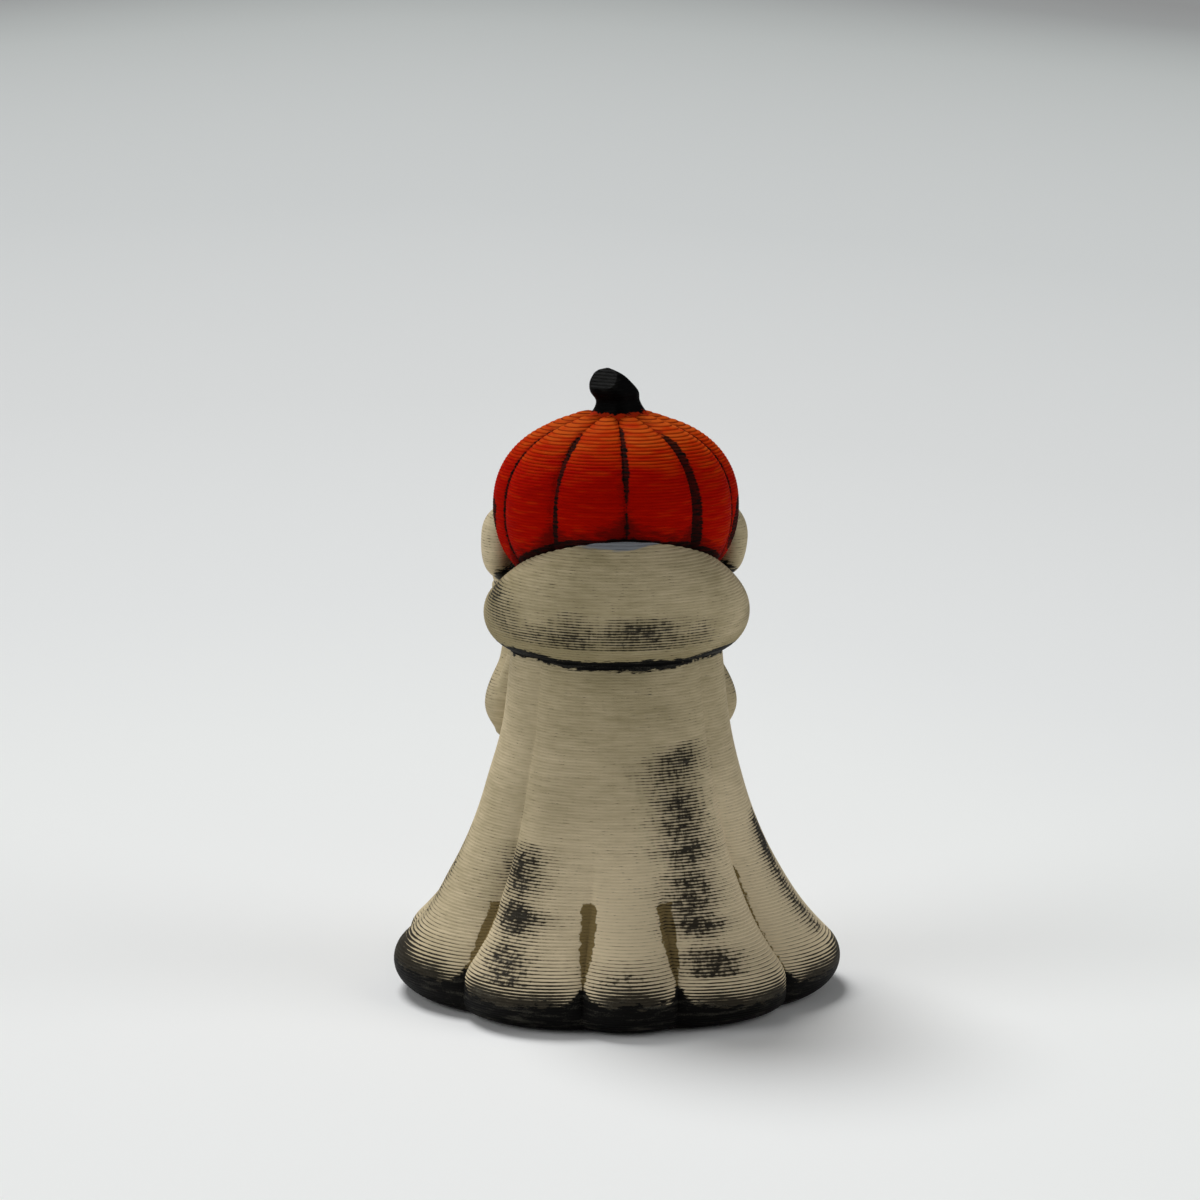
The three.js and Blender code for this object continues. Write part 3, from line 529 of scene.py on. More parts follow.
# %% Tubes along smooth paths
def smooth_path(points, along):
    """Points on a smooth curve through points: a cubic between each two of them, whose slopes take the
    square roots of the distances to the neighbours into account."""
    points = np.array(points, float)
    ends = np.vstack([2 * points[0] - points[1], points, 2 * points[-1] - points[-2]])
    gaps = np.maximum(np.linalg.norm(np.diff(ends, axis=0), axis=1) ** 0.5, 1e-4)
    place = np.clip(np.atleast_1d(along), 0, 1) * (len(points) - 1)
    k = np.minimum(place.astype(int), len(points) - 2)
    t = (place - k)[:, None]
    a, b, c, d = ends[k], ends[k + 1], ends[k + 2], ends[k + 3]
    u, v, w = gaps[k, None], gaps[k + 1, None], gaps[k + 2, None]
    leave = ((b - a) / u - (c - a) / (u + v) + (c - b) / v) * v
    arrive = ((c - b) / v - (d - b) / (v + w) + (d - c) / w) * v
    square_part, cube_part = 3 * (c - b) - 2 * leave - arrive, 2 * (b - c) + leave + arrive
    return b + leave * t + square_part * t**2 + cube_part * t**3


LIMB_RINGS, LIMB_COLUMNS = 40, 40
LIMB_END_RINGS, LIMB_END_ROUND = 5, 0.35


def limb(points, thick, wide):
    """A tube through points: its sections lie square to the path, thick away from the figurine's axis and
    wide along its body, and its ends are rounded over a share of their radius."""
    along = np.linspace(0, 1, LIMB_RINGS)
    centre = smooth_path(points, along)
    forward = np.gradient(centre, axis=0)
    forward /= np.linalg.norm(forward, axis=1, keepdims=True)
    as_points = [np.stack([v, v * 0, v * 0], -1) for v in (np.array(thick, float), np.array(wide, float))]
    thickness, width = (smooth_path(sizes, along)[:, 0] for sizes in as_points)
    bow = np.linspace(0, math.pi / 2, LIMB_END_RINGS + 1)[1:]
    tube = [thickness, width, centre, forward]
    for end, way in ((0, -1), (-1, 1)):
        thickness, width, centre, forward = (row[end] for row in tube)
        scale = 1 - LIMB_END_ROUND + LIMB_END_ROUND * np.cos(bow)
        push = way * thickness * LIMB_END_ROUND * np.sin(bow)
        tip = centre + forward * push[:, None]
        cap = [thickness * scale, width * scale, tip, np.broadcast_to(forward, tip.shape)]
        tube = [np.concatenate([old, new] if way > 0 else [new[::-1], old]) for old, new in zip(tube, cap)]
    thickness, width, centre, forward = tube
    outward = centre * [1, 1, 0]
    wide_way = np.cross(forward, outward)
    wide_way /= np.linalg.norm(wide_way, axis=1, keepdims=True)
    thick_way = np.cross(wide_way, forward)
    turn = -ring_angles(LIMB_COLUMNS)
    across, up = np.cos(turn)[None, :, None], np.sin(turn)[None, :, None]
    return (centre[:, None] + thick_way[:, None] * thickness[:, None, None] * across
            + wide_way[:, None] * width[:, None, None] * up)


VOXEL = 0.16
RELAX_SHARE, RELAX_STEPS = 0.5, 6


def fused(name, grids):
    """Tubes remeshed into one skin and relaxed, made in millimetres and scaled down at the end."""
    points, faces = np.zeros((0, 3)), []
    for grid in grids:
        more, more_faces = skin(grid)
        faces += [[k + len(points) for k in face] for face in more_faces]
        points = np.vstack([points, more])
    rough = make_object(name, points / MM, faces)
    remesh = rough.modifiers.new("remesh", "REMESH")
    remesh.mode, remesh.voxel_size, remesh.use_smooth_shade = "VOXEL", VOXEL, True
    relax = rough.modifiers.new("relax", "SMOOTH")
    relax.factor, relax.iterations = RELAX_SHARE, RELAX_STEPS
    bpy.context.view_layer.update()
    whole = bpy.data.meshes.new_from_object(rough.evaluated_get(bpy.context.evaluated_depsgraph_get()))
    rough.modifiers.clear()
    rough.data = whole
    flat = np.empty(len(whole.vertices) * 3, np.float32)
    whole.vertices.foreach_get("co", flat)
    whole.vertices.foreach_set("co", flat * MM)
    whole.update()
    return rough


# %% Sleeves and hands on both sides
# Points are degrees from the back, millimetres outside the carrying form, and millimetres above it
ARM_PATH = [(112, -2.1, 1.4), (120, -1, -2.6), (124, 0.9, -6.6)]
FOREARM_PATH = [(124, 1.1, -9.6), (126, 1.4, -7.1), (137, 2, -3.3)]
CUFF_PATH = [(141, 1.2, 0.4), (136.5, 1.75, 4.4)]
ARM_RADII, FOREARM_RADII = [2.4] * 3, [2, 3, 2.5, 2.1, 2]
HAND_PATH = [(124.5, 0.65, -6.65), (109.7, 0, -4.55), (99.5, -0.4, -2.85), (91, -0.7, -0.8)]
HAND_THICK, HAND_WIDE = [1.6, 1.5, 1.6, 1.6, 0.75], [1.7, 2, 2.7, 2.7, 1.3]
THUMB_PATH = [(124.5, 0.65, -6.15), (129.7, 0.85, -4.15), (133.4, 0.8, -2.25)]
THUMB_RADII = [1.3, 1.2, 0.75]


def placed(path, radius, height, side):
    """A path's points round the figurine, on its left (1) or right (-1)."""
    angle = np.radians([p[0] for p in path])
    out = radius(angle) if callable(radius) else radius
    points = around(out + np.array([p[1] for p in path]), angle, height + np.array([p[2] for p in path]))
    return points * [side, 1, 1]


sleeves, hands = {}, {}
SIDES = ((1, "left"), (-1, "right"))
for side, name in SIDES:
    arm = placed(ARM_PATH, SHOULDER_RADIUS, SHOULDER_HEIGHT, side)
    cuff = placed(CUFF_PATH, lambda angle: eased(HOOD_RADIUS, angle), SHOULDER_HEIGHT, side)
    forearm = np.vstack([placed(FOREARM_PATH, SHOULDER_RADIUS, SHOULDER_HEIGHT, side), cuff])
    palm = np.vstack([forearm[-1:], placed(HAND_PATH, HEAD_RADIUS, HEAD_MIDDLE, side)])
    thumb = placed(THUMB_PATH, HEAD_RADIUS, HEAD_MIDDLE, side)
    sleeves[name] = fused(f"{name}_arm", [limb(arm, ARM_RADII, ARM_RADII),
                                          limb(forearm, FOREARM_RADII, FOREARM_RADII)])
    hands[name] = fused(f"{name}_mitten", [limb(palm, HAND_THICK, HAND_WIDE),
                                           limb(thumb, THUMB_RADII, THUMB_RADII)])
print({name: len(piece.data.vertices) for name, piece in {**sleeves, **hands}.items()})

# %% [markdown]
# ## Stem
#
# The stem is a stack of level rings, ridged like a real stalk, that leans over and ends in a slanting
# cut. Every point above the cut's plane is let down onto it, so the last rings become the cut's face.

# %% The stem's mesh
STEM_SEAT = HEAD_MIDDLE + HEAD_HALF_HEIGHT
# Millimetres above the seat, millimetres of lean to the left, and radius
STEM_LEVELS = [(-1, -0.3, 3.4), (0.4, -0.25, 2.3), (1.1, -0.15, 2.05), (2, 0.2, 2.25), (2.9, 0.6, 1.95),
               (3.6, 0.9, 1.5), (4.3, 1.2, 0.5)]
STEM_LEAN_BACK, STEM_RIDGES, STEM_RIDGE_HEIGHT = 0.6, 5, 0.06
STEM_CUT_LEVEL, STEM_CUT_FACING = 3.6, np.array([0.45, 0.55, 0.7])
STEM_RINGS, STEM_COLUMNS = 110, 80

levels = smooth_path(STEM_LEVELS, np.linspace(0, 1, STEM_RINGS))
turn = ring_angles(STEM_COLUMNS)
reach = levels[:, 2:3] * (1 + STEM_RIDGE_HEIGHT * np.cos(STEM_RIDGES * turn))
stalk = around(reach, turn, STEM_SEAT + levels[:, :1])
stalk += (levels[:, 1:2] * [1, STEM_LEAN_BACK, 0])[:, None]
tip_lean = STEM_LEVELS[-1][1]
cut_middle = np.array([tip_lean, tip_lean * STEM_LEAN_BACK, STEM_SEAT + STEM_CUT_LEVEL])
slant = ((stalk - cut_middle)[..., :2] * STEM_CUT_FACING[:2]).sum(-1) / STEM_CUT_FACING[2]
stalk[..., 2] = np.minimum(stalk[..., 2], cut_middle[2] - slant)
stem = make_object("stem", *skin(stalk))
print("stem top at", stalk[..., 2].max().round(2))

# %% [markdown]
# ## Colours and nodes
#
# Colours are written as they look on the screen, in hex, and one function turns them into the linear
# values that the shaders use. Two more add a node with its settings, and set or link a node's inputs.

# %% Colour and node helpers
def linear(hex_colour):
    """sRGB hex to linear RGBA: (c / 12.92) below 0.04045, ((c + 0.055) / 1.055)^2.4 above."""
    srgb = np.array([int(hex_colour[k:k + 2], 16) for k in (1, 3, 5)]) / 255
    rgb = np.where(srgb <= 0.04045, srgb / 12.92, ((srgb + 0.055) / 1.055) ** 2.4)
    return (*map(float, rgb), 1.0)


def wire(tree, node, inputs):
    """Gives a node its inputs by name or in a row: values, sockets, or nodes for their first live output."""
    live = [socket for socket in node.inputs if socket.enabled]
    for key, value in inputs.items() if isinstance(inputs, dict) else enumerate(inputs):
        socket = live[key] if isinstance(key, int) else next(s for s in live if s.name == key)
        if isinstance(value, bpy.types.Node):
            value = next(s for s in value.outputs if s.enabled)
        if isinstance(value, bpy.types.NodeSocket):
            tree.links.new(value, socket)
        else:
            socket.default_value = value


def add(tree, kind, settings, inputs):
    """Adds a node with its settings and its inputs."""
    made = tree.nodes.new("ShaderNode" + kind)
    for name, value in settings.items():
        setattr(made, name, value)
    wire(tree, made, inputs)
    return made


# Settings that come up again and again
COLOURS = {"data_type": "RGBA"}
MULTIPLY, MULTIPLY_ADD, MAXIMUM = ({"operation": name} for name in ("MULTIPLY", "MULTIPLY_ADD", "MAXIMUM"))


def set_stops(ramp, stops):
    """Gives a colour ramp its stops. It already has one at each end, so only the inner ones are new."""
    ends = ramp.color_ramp.elements
    for position, hex_colour in stops:
        stop = ends[0] if position == 0 else ends[-1] if position == 1 else ends.new(position)
        stop.color = linear(hex_colour)


def new_paint(name):
    """An empty material with its node tree and its final shader."""
    paint = bpy.data.materials.new(name)
    paint.use_nodes = True
    return paint, paint.node_tree, paint.node_tree.nodes["Principled BSDF"]


print("cream as linear:", [round(c, 3) for c in linear("#ada083")])

# %% [markdown]
# ## What the brush leaves
#
# Every paint here needs the same few patterns: how near a point is to the edge of its printed layer, and
# some noises. A dry brush drags over the layers and colours the beads in level streaks, so two of them are
# drawn out sideways. A noise with 1.6 cells in a millimetre has spots of about 0.6 mm.

# %% Patterns shared by the paints
# Cells in a millimetre along x, y and z, and detail
NOISES = {
    "ragged": ((1.6, 1.6, 1.6), 3),  # the edges of brushstrokes: spots of 0.6 mm
    "streak": ((0.35, 0.35, 2.4), 2),  # the brush's level strokes: 3 mm long and 0.4 mm tall
    "hatch": ((0.9, 0.9, 1.4 / LAYER), 2),  # paint caught by single layers: 1.1 mm long and 0.2 mm tall
    "mottle": ((0.16, 0.16, 0.16), 3),  # thick and thin paint: patches of 6 mm
    "bristle": ((2.4, 2.4, 0.6), 2),  # the bristles' upright marks: 0.4 mm wide and 1.7 mm tall
    "grain": ((7, 7, 7), 2),  # the chalk in the paint: 0.14 mm, coarser than the real one, to show at all
}


def brush_patterns(tree, *map_names):
    """Patterns by name: the edge of the layer, the noises, and the maps that are stored on the mesh."""
    here = add(tree, "TexCoord", {}, {}).outputs["Object"]
    place = add(tree, "Mapping", {}, {"Vector": here, "Scale": (1 / MM,) * 3})
    height = add(tree, "SeparateXYZ", {}, {"Vector": place}).outputs["Z"]
    layers = add(tree, "Math", {"operation": "DIVIDE"}, (height, LAYER))
    within = add(tree, "Math", {"operation": "FRACT"}, (layers,))
    centred = add(tree, "Math", {"operation": "SUBTRACT"}, (within, 0.5))
    apart = add(tree, "Math", {"operation": "ABSOLUTE"}, (centred,))
    at = {"edge": add(tree, "Math", MULTIPLY, (apart, 2.0))}
    for name, (scale, detail) in NOISES.items():
        spread = add(tree, "Mapping", {}, {"Vector": place, "Scale": scale})
        at[name] = add(tree, "TexNoise", {"noise_dimensions": "3D"},
                       {"Vector": spread, "Scale": 1.0, "Detail": float(detail), "Roughness": 0.6})
    for name in map_names:
        at[name] = add(tree, "Attribute", {"attribute_name": name}, {}).outputs["Fac"]
    return at


def weighed(tree, at, base, **weights):
    """A base plus each named pattern times its weight."""
    for name, weight in weights.items():
        base = add(tree, "Math", MULTIPLY_ADD, (at[name], weight, base))
    return base


def relief(tree, at, notch, strength, depth):
    """Bump of a paint, depth in mm: its layers' edges are notches, and the paint itself is grainy."""
    height = weighed(tree, at, at["grain"], edge=-notch)
    return add(tree, "Bump", {}, {"Strength": strength, "Distance": depth * MM, "Height": height})


print(", ".join(NOISES), "are the noises")

# %% [markdown]
# ## Cream acrylic
#
# Matt craft acrylic on printed PLA: chalky and barely shiny. Its tone carries painted light and shade,
# lighter towards the hem and darker up under the hood and from side to side. The black is the same kind
# of paint with a little more sheen. It fills the creases and the hem, and where the brush was nearly dry
# it only caught the layers, which gives rows of fine dark lines. The maps on the mesh say where each paint
# lies, as distances in millimetres or as amounts.

# %% Cream paint: its tone, stripes and washes
# A MapRange row is the value, the two values it goes from and the two that they become
cream, tree, shader = new_paint("hand_brushed_matt_cream_acrylic")
at = brush_patterns(tree, "black_edge", "dry_brush", "layer_ink", "brown_edge", "bare_edge", "brightness")
# The tone carries painted light and shade from its map, and random streaks and mottling
tone = weighed(tree, at, at["brightness"], streak=0.5, mottle=0.5)
tone = add(tree, "MapRange", {}, (tone, 0.3, 1.05))
colour = add(tree, "Mix", COLOURS, (tone, linear("#978b6a"), linear("#decdab")))

# Brown stripes in the flutes, and primer left bare, both with wandering edges
brown = add(tree, "MapRange", {}, (weighed(tree, at, at["brown_edge"], ragged=0.9), 0.5, 0.4))
bare = add(tree, "MapRange", {}, (weighed(tree, at, at["bare_edge"], streak=1.2), 0.7, 0.5))
# A thin wash that stays between the layers, and a dull film round the dry-brushed black
at["line"] = add(tree, "Math", {"operation": "POWER"}, (at["edge"], 2.0))
wash = add(tree, "Math", MULTIPLY, (weighed(tree, at, 0.1, layer_ink=0.3), at["line"]))
film = add(tree, "Math", MULTIPLY, (at["dry_brush"], at["ragged"]))
film = add(tree, "Math", MULTIPLY, (film, 0.6))
for amount, coat in ((brown, "#7f6d46"), (bare, "#83878c"), (wash, "#3a3325"), (film, "#4a4230")):
    colour = add(tree, "Mix", COLOURS, (amount, colour, linear(coat)))
print("cream paint:", len(tree.nodes), "nodes before its black")

# %% Cream paint: its black
# The dry brush catches bristle marks, level hatching and the layers' edges, more where its map is strong
catch = weighed(tree, at, -0.5, bristle=1.0, hatch=0.9, line=0.75, dry_brush=1.0)
dry = add(tree, "MapRange", {}, (catch, 1.17, 1.44, 0.0, 0.95))
# Rows of fine dark lines between the layers
catch = weighed(tree, at, at["edge"], hatch=0.6, layer_ink=1.4)
rows = add(tree, "MapRange", {}, (catch, 1.4, 1.6, 0.0, 0.95))
# Solid black within the painted edge
wander = weighed(tree, at, at["black_edge"], ragged=0.9, hatch=2.4)
solid = add(tree, "MapRange", {}, (wander, 1.8, 1.5))
ink = add(tree, "Math", MAXIMUM, (dry, solid))
ink = add(tree, "Math", MAXIMUM, (ink, rows))

worn = add(tree, "MapRange", {}, (weighed(tree, at, at["streak"], grain=0.5), 0.78, 1.05))
black = add(tree, "Mix", COLOURS, (worn, linear("#0a0908"), linear("#3f3d36")))
colour = add(tree, "Mix", COLOURS, (ink, colour, black))
sheen = add(tree, "MapRange", {}, (ink, 0.0, 1.0, 0.8, 0.6))
wire(tree, shader, {"Base Color": colour, "Roughness": sheen, "Specular IOR Level": 0.07,
                    "Normal": relief(tree, at, 0.6, 0.5, 0.04)})
print("cream paint:", len(tree.nodes), "nodes")

# %% [markdown]
# ## Orange acrylic
#
# The pumpkin's paint is orange over the top and dark red lower down, laid on in level strokes that still
# show. Its crests and sides are painted a little lighter, as painted light, and painted shade darkens it
# beside the grooves and low down by the hood. A black line runs down each groove, thick here and broken
# there, and more black lines the edge of the hood and of the hands. The face's hollows are black all over.

# %% Orange paint
orange, tree, shader = new_paint("hand_brushed_satin_orange_acrylic")
at = brush_patterns(tree, "groove_distance", "groove_width", "groove_shadow", "black_edge", "hollow",
                    "lightness")
at["stroke"] = add(tree, "Math", {"operation": "SUBTRACT"}, (at["streak"], 0.5))
tone = weighed(tree, at, at["lightness"], stroke=1.2)
ramp = add(tree, "ValToRGB", {}, (tone,))
set_stops(ramp, [(0, "#960700"), (0.3, "#a80c00"), (0.55, "#b42302"), (0.78, "#bc3806"), (1, "#c65216")])
# Dark red between the layers, more where the paint is light, and painted shade beside the grooves and low
# down by the hood, broken up in level streaks
notch = add(tree, "Math", {"operation": "POWER"}, (at["edge"], 3.0))
notch = add(tree, "Math", MULTIPLY, (notch, tone))
smear = weighed(tree, at, at["groove_shadow"], hatch=0.8)
smear = add(tree, "MapRange", {}, (smear, 0.75, 1.05, 0.0, 0.75))
# Black lines: in the grooves to each line's half width, and along the hood and the hands
side = add(tree, "Math", {"operation": "ABSOLUTE"}, (at["groove_distance"],))
side = add(tree, "Math", {"operation": "SUBTRACT"}, (side, at["groove_width"]))
edge = add(tree, "Math", {"operation": "MINIMUM"}, (side, at["black_edge"]))
ink = add(tree, "MapRange", {}, (weighed(tree, at, edge, ragged=0.45, hatch=0.5), 0.52, 0.4))
thin = add(tree, "MapRange", {}, (at["hatch"], 0.4, 0.7, 1.0, 0.75))
ink = add(tree, "Math", MULTIPLY, (ink, thin))
ink = add(tree, "Math", MAXIMUM, (ink, at["hollow"]))
colour = ramp
for amount, coat in ((notch, "#5c0900"), (smear, "#4a0a06"), (ink, "#140f0d")):
    colour = add(tree, "Mix", COLOURS, (amount, colour, linear(coat)))
sheen = add(tree, "MapRange", {}, (at["streak"], 0.0, 1.0, 0.6, 0.8))
wire(tree, shader, {"Base Color": colour, "Roughness": sheen, "Specular IOR Level": 0.01,
                    "Normal": relief(tree, at, 0.6, 0.5, 0.04)})
print("orange paint:", len(tree.nodes), "nodes")

# %% [markdown]
# ## Black acrylic and bare filament
#
# The stem is black with a satin sheen, lighter grey in level streaks and on its cut, as dust and painted
# sheen, and its foot is orange where the pumpkin's paint runs up it. The base plate under the figurine is
# black too. The dowel and the pins inside are bare PLA, as it comes off the printer: milky, with its layer
# lines.

# %% Black paint and bare filament
black_paint, tree, shader = new_paint("hand_brushed_satin_black_acrylic")
at = brush_patterns(tree, "orange_reach", "worn")
# Lighter grey in level streaks and on the cut: dust on the paint and painted sheen
dust = add(tree, "MapRange", {}, (weighed(tree, at, at["hatch"], worn=0.5), 0.55, 1.1))
colour = add(tree, "Mix", COLOURS, (dust, linear("#030303"), linear("#20211f")))
foot = add(tree, "MapRange", {}, (weighed(tree, at, at["orange_reach"], ragged=-1.0), 0.5, 0.6))
colour = add(tree, "Mix", COLOURS, (foot, colour, linear("#b02a06")))
sheen = add(tree, "MapRange", {}, (at["streak"], 0.0, 1.0, 0.45, 0.65))
wire(tree, shader, {"Base Color": colour, "Roughness": sheen, "Specular IOR Level": 0.03,
                    "Normal": relief(tree, at, 0.8, 0.6, 0.05)})

filament, tree, shader = new_paint("bare_printed_pla_filament")
at = brush_patterns(tree)
milky = add(tree, "Mix", COLOURS, (at["streak"], linear("#cfcbbf"), linear("#dedbd2")))
beads = add(tree, "Bump", {}, {"Strength": 0.6, "Distance": 0.05 * MM, "Height": at["edge"]})
wire(tree, shader, {"Base Color": milky, "Roughness": 0.5, "Normal": beads})
print("black paint and bare filament made")

# %% [markdown]
# ## Where the robe's paints lie
#
# The maps are plain distances, so they are worked out for every point of the mesh at once. A dry-brush
# patch is a soft blot round a crooked line that is given in degrees and heights, widths in millimetres.

# %% Blots and angles
BLOT_SPREAD = 1.2


def wrapped(angle):
    """The same angle between -180 and 180 degrees."""
    return (angle + math.pi) % (2 * math.pi) - math.pi


def blots(from_back, height, radius, strokes):
    """The strongest of some soft blots. A stroke is a list of (degrees, height, half width, strength);
    along it the values are interpolated by height, and across it the strength falls off as a bell."""
    amount = np.zeros(height.shape)
    for stroke in strokes:
        angle, level, half, strength = np.array(sorted(stroke, key=lambda p: p[1]), float).T
        middle = np.radians(np.interp(height, level, angle))
        width = np.interp(height, level, half) * BLOT_SPREAD
        off = np.abs(wrapped(from_back - middle)) * radius
        here = np.interp(height, level, strength, left=0, right=0)
        amount = np.maximum(amount, here * bell(off, width))
    return amount


def polar(points):
    """Angle from the back, radius and height of points."""
    return np.arctan2(points[:, 0], points[:, 1]), np.hypot(points[:, 0], points[:, 1]), points[:, 2]


print("270 degrees is the same as", np.degrees(wrapped(math.radians(270))).round())

# %% Maps of the robe: solid black
SHEET_DEPTH = 3.4  # the robe's outer skin lies within this of its outline
# Degrees from the back and how high the black of the hem reaches there
HEM_BLACK = [(-180, 3.2), (-120, 3.2), (-76, 2.8), (-51, 2.9), (-30, 2.4), (-13, 3.2), (0, 3.6), (13, 3.3),
             (30, 2.8), (51, 3.4), (78, 3.7), (120, 3.1), (180, 3.2)]
VALLEY_BLACK_RISE, VALLEY_BLACK_WIDTH = 1.3, 0.7  # it runs up the valleys
NECK_BLACK, NECK_DIP, NECK_DIP_WIDTH, NECK_SWING = 0.5, 0.45, 0.55, 0.08  # the stroke under the hood
CRISP = 2.5  # the seams' black ends so many times more sharply than the hem's

from_back, radius, height = polar(points_of(robe))
degrees = np.degrees(from_back)
outer = radius > np.interp(height, robe_outline[:, 1], robe_outline[:, 0]) - SHEET_DEPTH
valley_angles = np.radians(valleys[1:-1, 0])
off_valley = np.abs(wrapped(from_back[:, None] - valley_angles)).min(1) * radius

hem_black = np.interp(degrees, *zip(*HEM_BLACK))
hem_top = hem_black + VALLEY_BLACK_RISE * bell(off_valley, VALLEY_BLACK_WIDTH)
seam_foot = (SHOULDER_HEIGHT - NECK_BLACK + NECK_SWING * np.sin(from_back * 7 + 1)
             - NECK_DIP * bell(from_back, NECK_DIP_WIDTH))
black_edge = np.minimum(height - hem_top, CRISP * (seam_foot - height))
paint_maps(robe, black_edge=np.where(outer, black_edge, FAR))
print("black covers", (black_edge < 0).mean().round(2), "of the robe's points")

# %% Maps of the robe: dry brush and ink
DRY_STROKES = [
    [(40, 16.3, 1.8, 0.45), (42, 14.8, 2.7, 0.85), (42, 12.8, 2.8, 0.9), (40, 11.4, 2.2, 0.65),
     (37, 10.2, 3.0, 1.05), (37, 9.2, 2.9, 0.95), (37, 8.1, 2.4, 0.6), (36, 6.6, 3.2, 0.85),
     (33, 4.4, 3.6, 0.85)],
    [(-34, 25.8, 1.2, 0.45), (-28, 24.4, 3.0, 0.8), (-24, 23.2, 3.4, 0.75), (-24, 22, 2.8, 0.6),
     (-25, 20.4, 2.5, 0.85), (-25, 18.4, 2.7, 0.85), (-26, 17, 3.0, 0.75), (-26, 15.6, 3.2, 0.85),
     (-25, 14.2, 2.4, 0.65), (-24, 12.8, 2.8, 0.85), (-23, 11.3, 2.9, 0.85), (-22, 10.4, 2.2, 0.75),
     (-23, 9.4, 3.0, 1.05), (-23, 8.8, 2.8, 0.8), (-23, 8.0, 1.8, 0.35), (-24, 7.0, 3.3, 0.9),
     (-24, 5.2, 3.2, 0.9)],
    [(-79, 17.8, 1.0, 0.5), (-77, 16.8, 1.6, 0.9), (-76, 14.6, 1.7, 1.1), (-74, 11.5, 1.7, 0.8),
     (-75, 8.4, 2.0, 0.8), (-76, 6, 2.4, 0.7)],
    [(88, 16, 1.0, 0.4), (86, 12, 1.6, 0.7), (85, 6, 1.8, 0.6)],
    [(2, 7, 3.5, 0.2), (1, 5.6, 4.5, 0.62), (1, 4.5, 5, 0.6)],
    [(-118, 21, 1.4, 0.4), (-121, 15, 2.2, 0.9), (-119, 11, 2.0, 0.6), (-120, 6, 2.8, 0.8)],
    [(121, 17, 1.2, 0.3), (118, 13, 2.0, 0.8), (119, 9, 2.3, 0.9), (120, 6, 2.6, 0.6)],
    [(150, 19, 1.2, 0.4), (151, 13, 2.0, 0.8), (149, 8, 2.2, 0.7), (150, 5, 2.6, 0.6)],
    [(-152, 15, 1.6, 0.8), (-150, 10, 1.8, 0.6), (-151, 6, 2.4, 0.8)],
    [(180, 14, 1.5, 0.4), (178, 9, 2.2, 0.8), (181, 5, 2.8, 0.7)],
]
# Black between the layers: it covers more and more of them towards the hem, and most at the robe's sides
INK_RISES, INK_AMOUNTS = [0.3, 1.3, 2.5, 4, 7, 11], [0.95, 0.6, 0.34, 0.18, 0.06, 0]
CREST_WIDTH, SIDE_BAND, SIDE_INK = 3.2, (6, 24), 0.7

layer_ink = np.interp(height - hem_black, INK_RISES, INK_AMOUNTS)
layer_ink *= 0.5 + 0.5 * np.clip(off_valley / CREST_WIDTH, 0, 1)
layer_ink *= 1 + SIDE_INK * (1 - smoothstep(np.abs(np.abs(degrees) - 90), *SIDE_BAND))
paint_maps(robe, dry_brush=blots(from_back, height, radius, DRY_STROKES) * outer,
           layer_ink=np.where(outer, layer_ink, 0))
print(len(DRY_STROKES), "dry-brushed strokes on the robe")

# %% Maps of the robe: brown stripes and brightness
STRIPE_TOPS = {13: 11.4, 51: 10.4, 104: 10.8, 136: 10.2, 165: 9.8}  # by the valley's degrees
THIN_STRIPE, THIN_STRIPE_TOP = -51, 13.5  # this one is a mere line, but longer
STRIPE_REACH = 8  # degrees from a valley that still belong to its stripe

stripe_top = np.select([np.abs(np.abs(degrees) - valley) < STRIPE_REACH for valley in STRIPE_TOPS],
                       list(STRIPE_TOPS.values()), 0)
narrow = np.abs(degrees - THIN_STRIPE) < STRIPE_REACH
stripe_top = np.where(narrow, THIN_STRIPE_TOP, stripe_top)
stripe_half = np.where(narrow, 0.16 + 0.12 * smoothstep(height, 6, 11),
                       0.12 + 0.62 * smoothstep(height, 3.5, 9))
brown_edge = np.maximum(off_valley - stripe_half, height - stripe_top)
# Painted light and shade: darker up under the hood and brighter towards the hem; at the sides darker low
# down and brighter high up; darker on the skirt's left
at_sides = np.sin(from_back) ** 2 * (0.45 * smoothstep(height, 12, 30) - 0.15)
on_left = 0.22 * np.sin(from_back) * (1 - smoothstep(height, 14, 26))
paint_maps(robe, brown_edge=np.where(outer, brown_edge, FAR), bare_edge=FAR,
           brightness=0.72 * (1 - smoothstep(height, 8, 33)) - 0.12 + at_sides - on_left)
hand_over(robe, "robe_body", cream)

# %% [markdown]
# ## Where the hood's paints lie
#
# The hood has a black stroke along its foot, dark dry-brushed patches low on its back and up its left
# end, and a strip along the top of the back where the grey primer still shows. Painted shade darkens it
# along its foot and on its left, and lays dark lines between the layers high on its top slope.

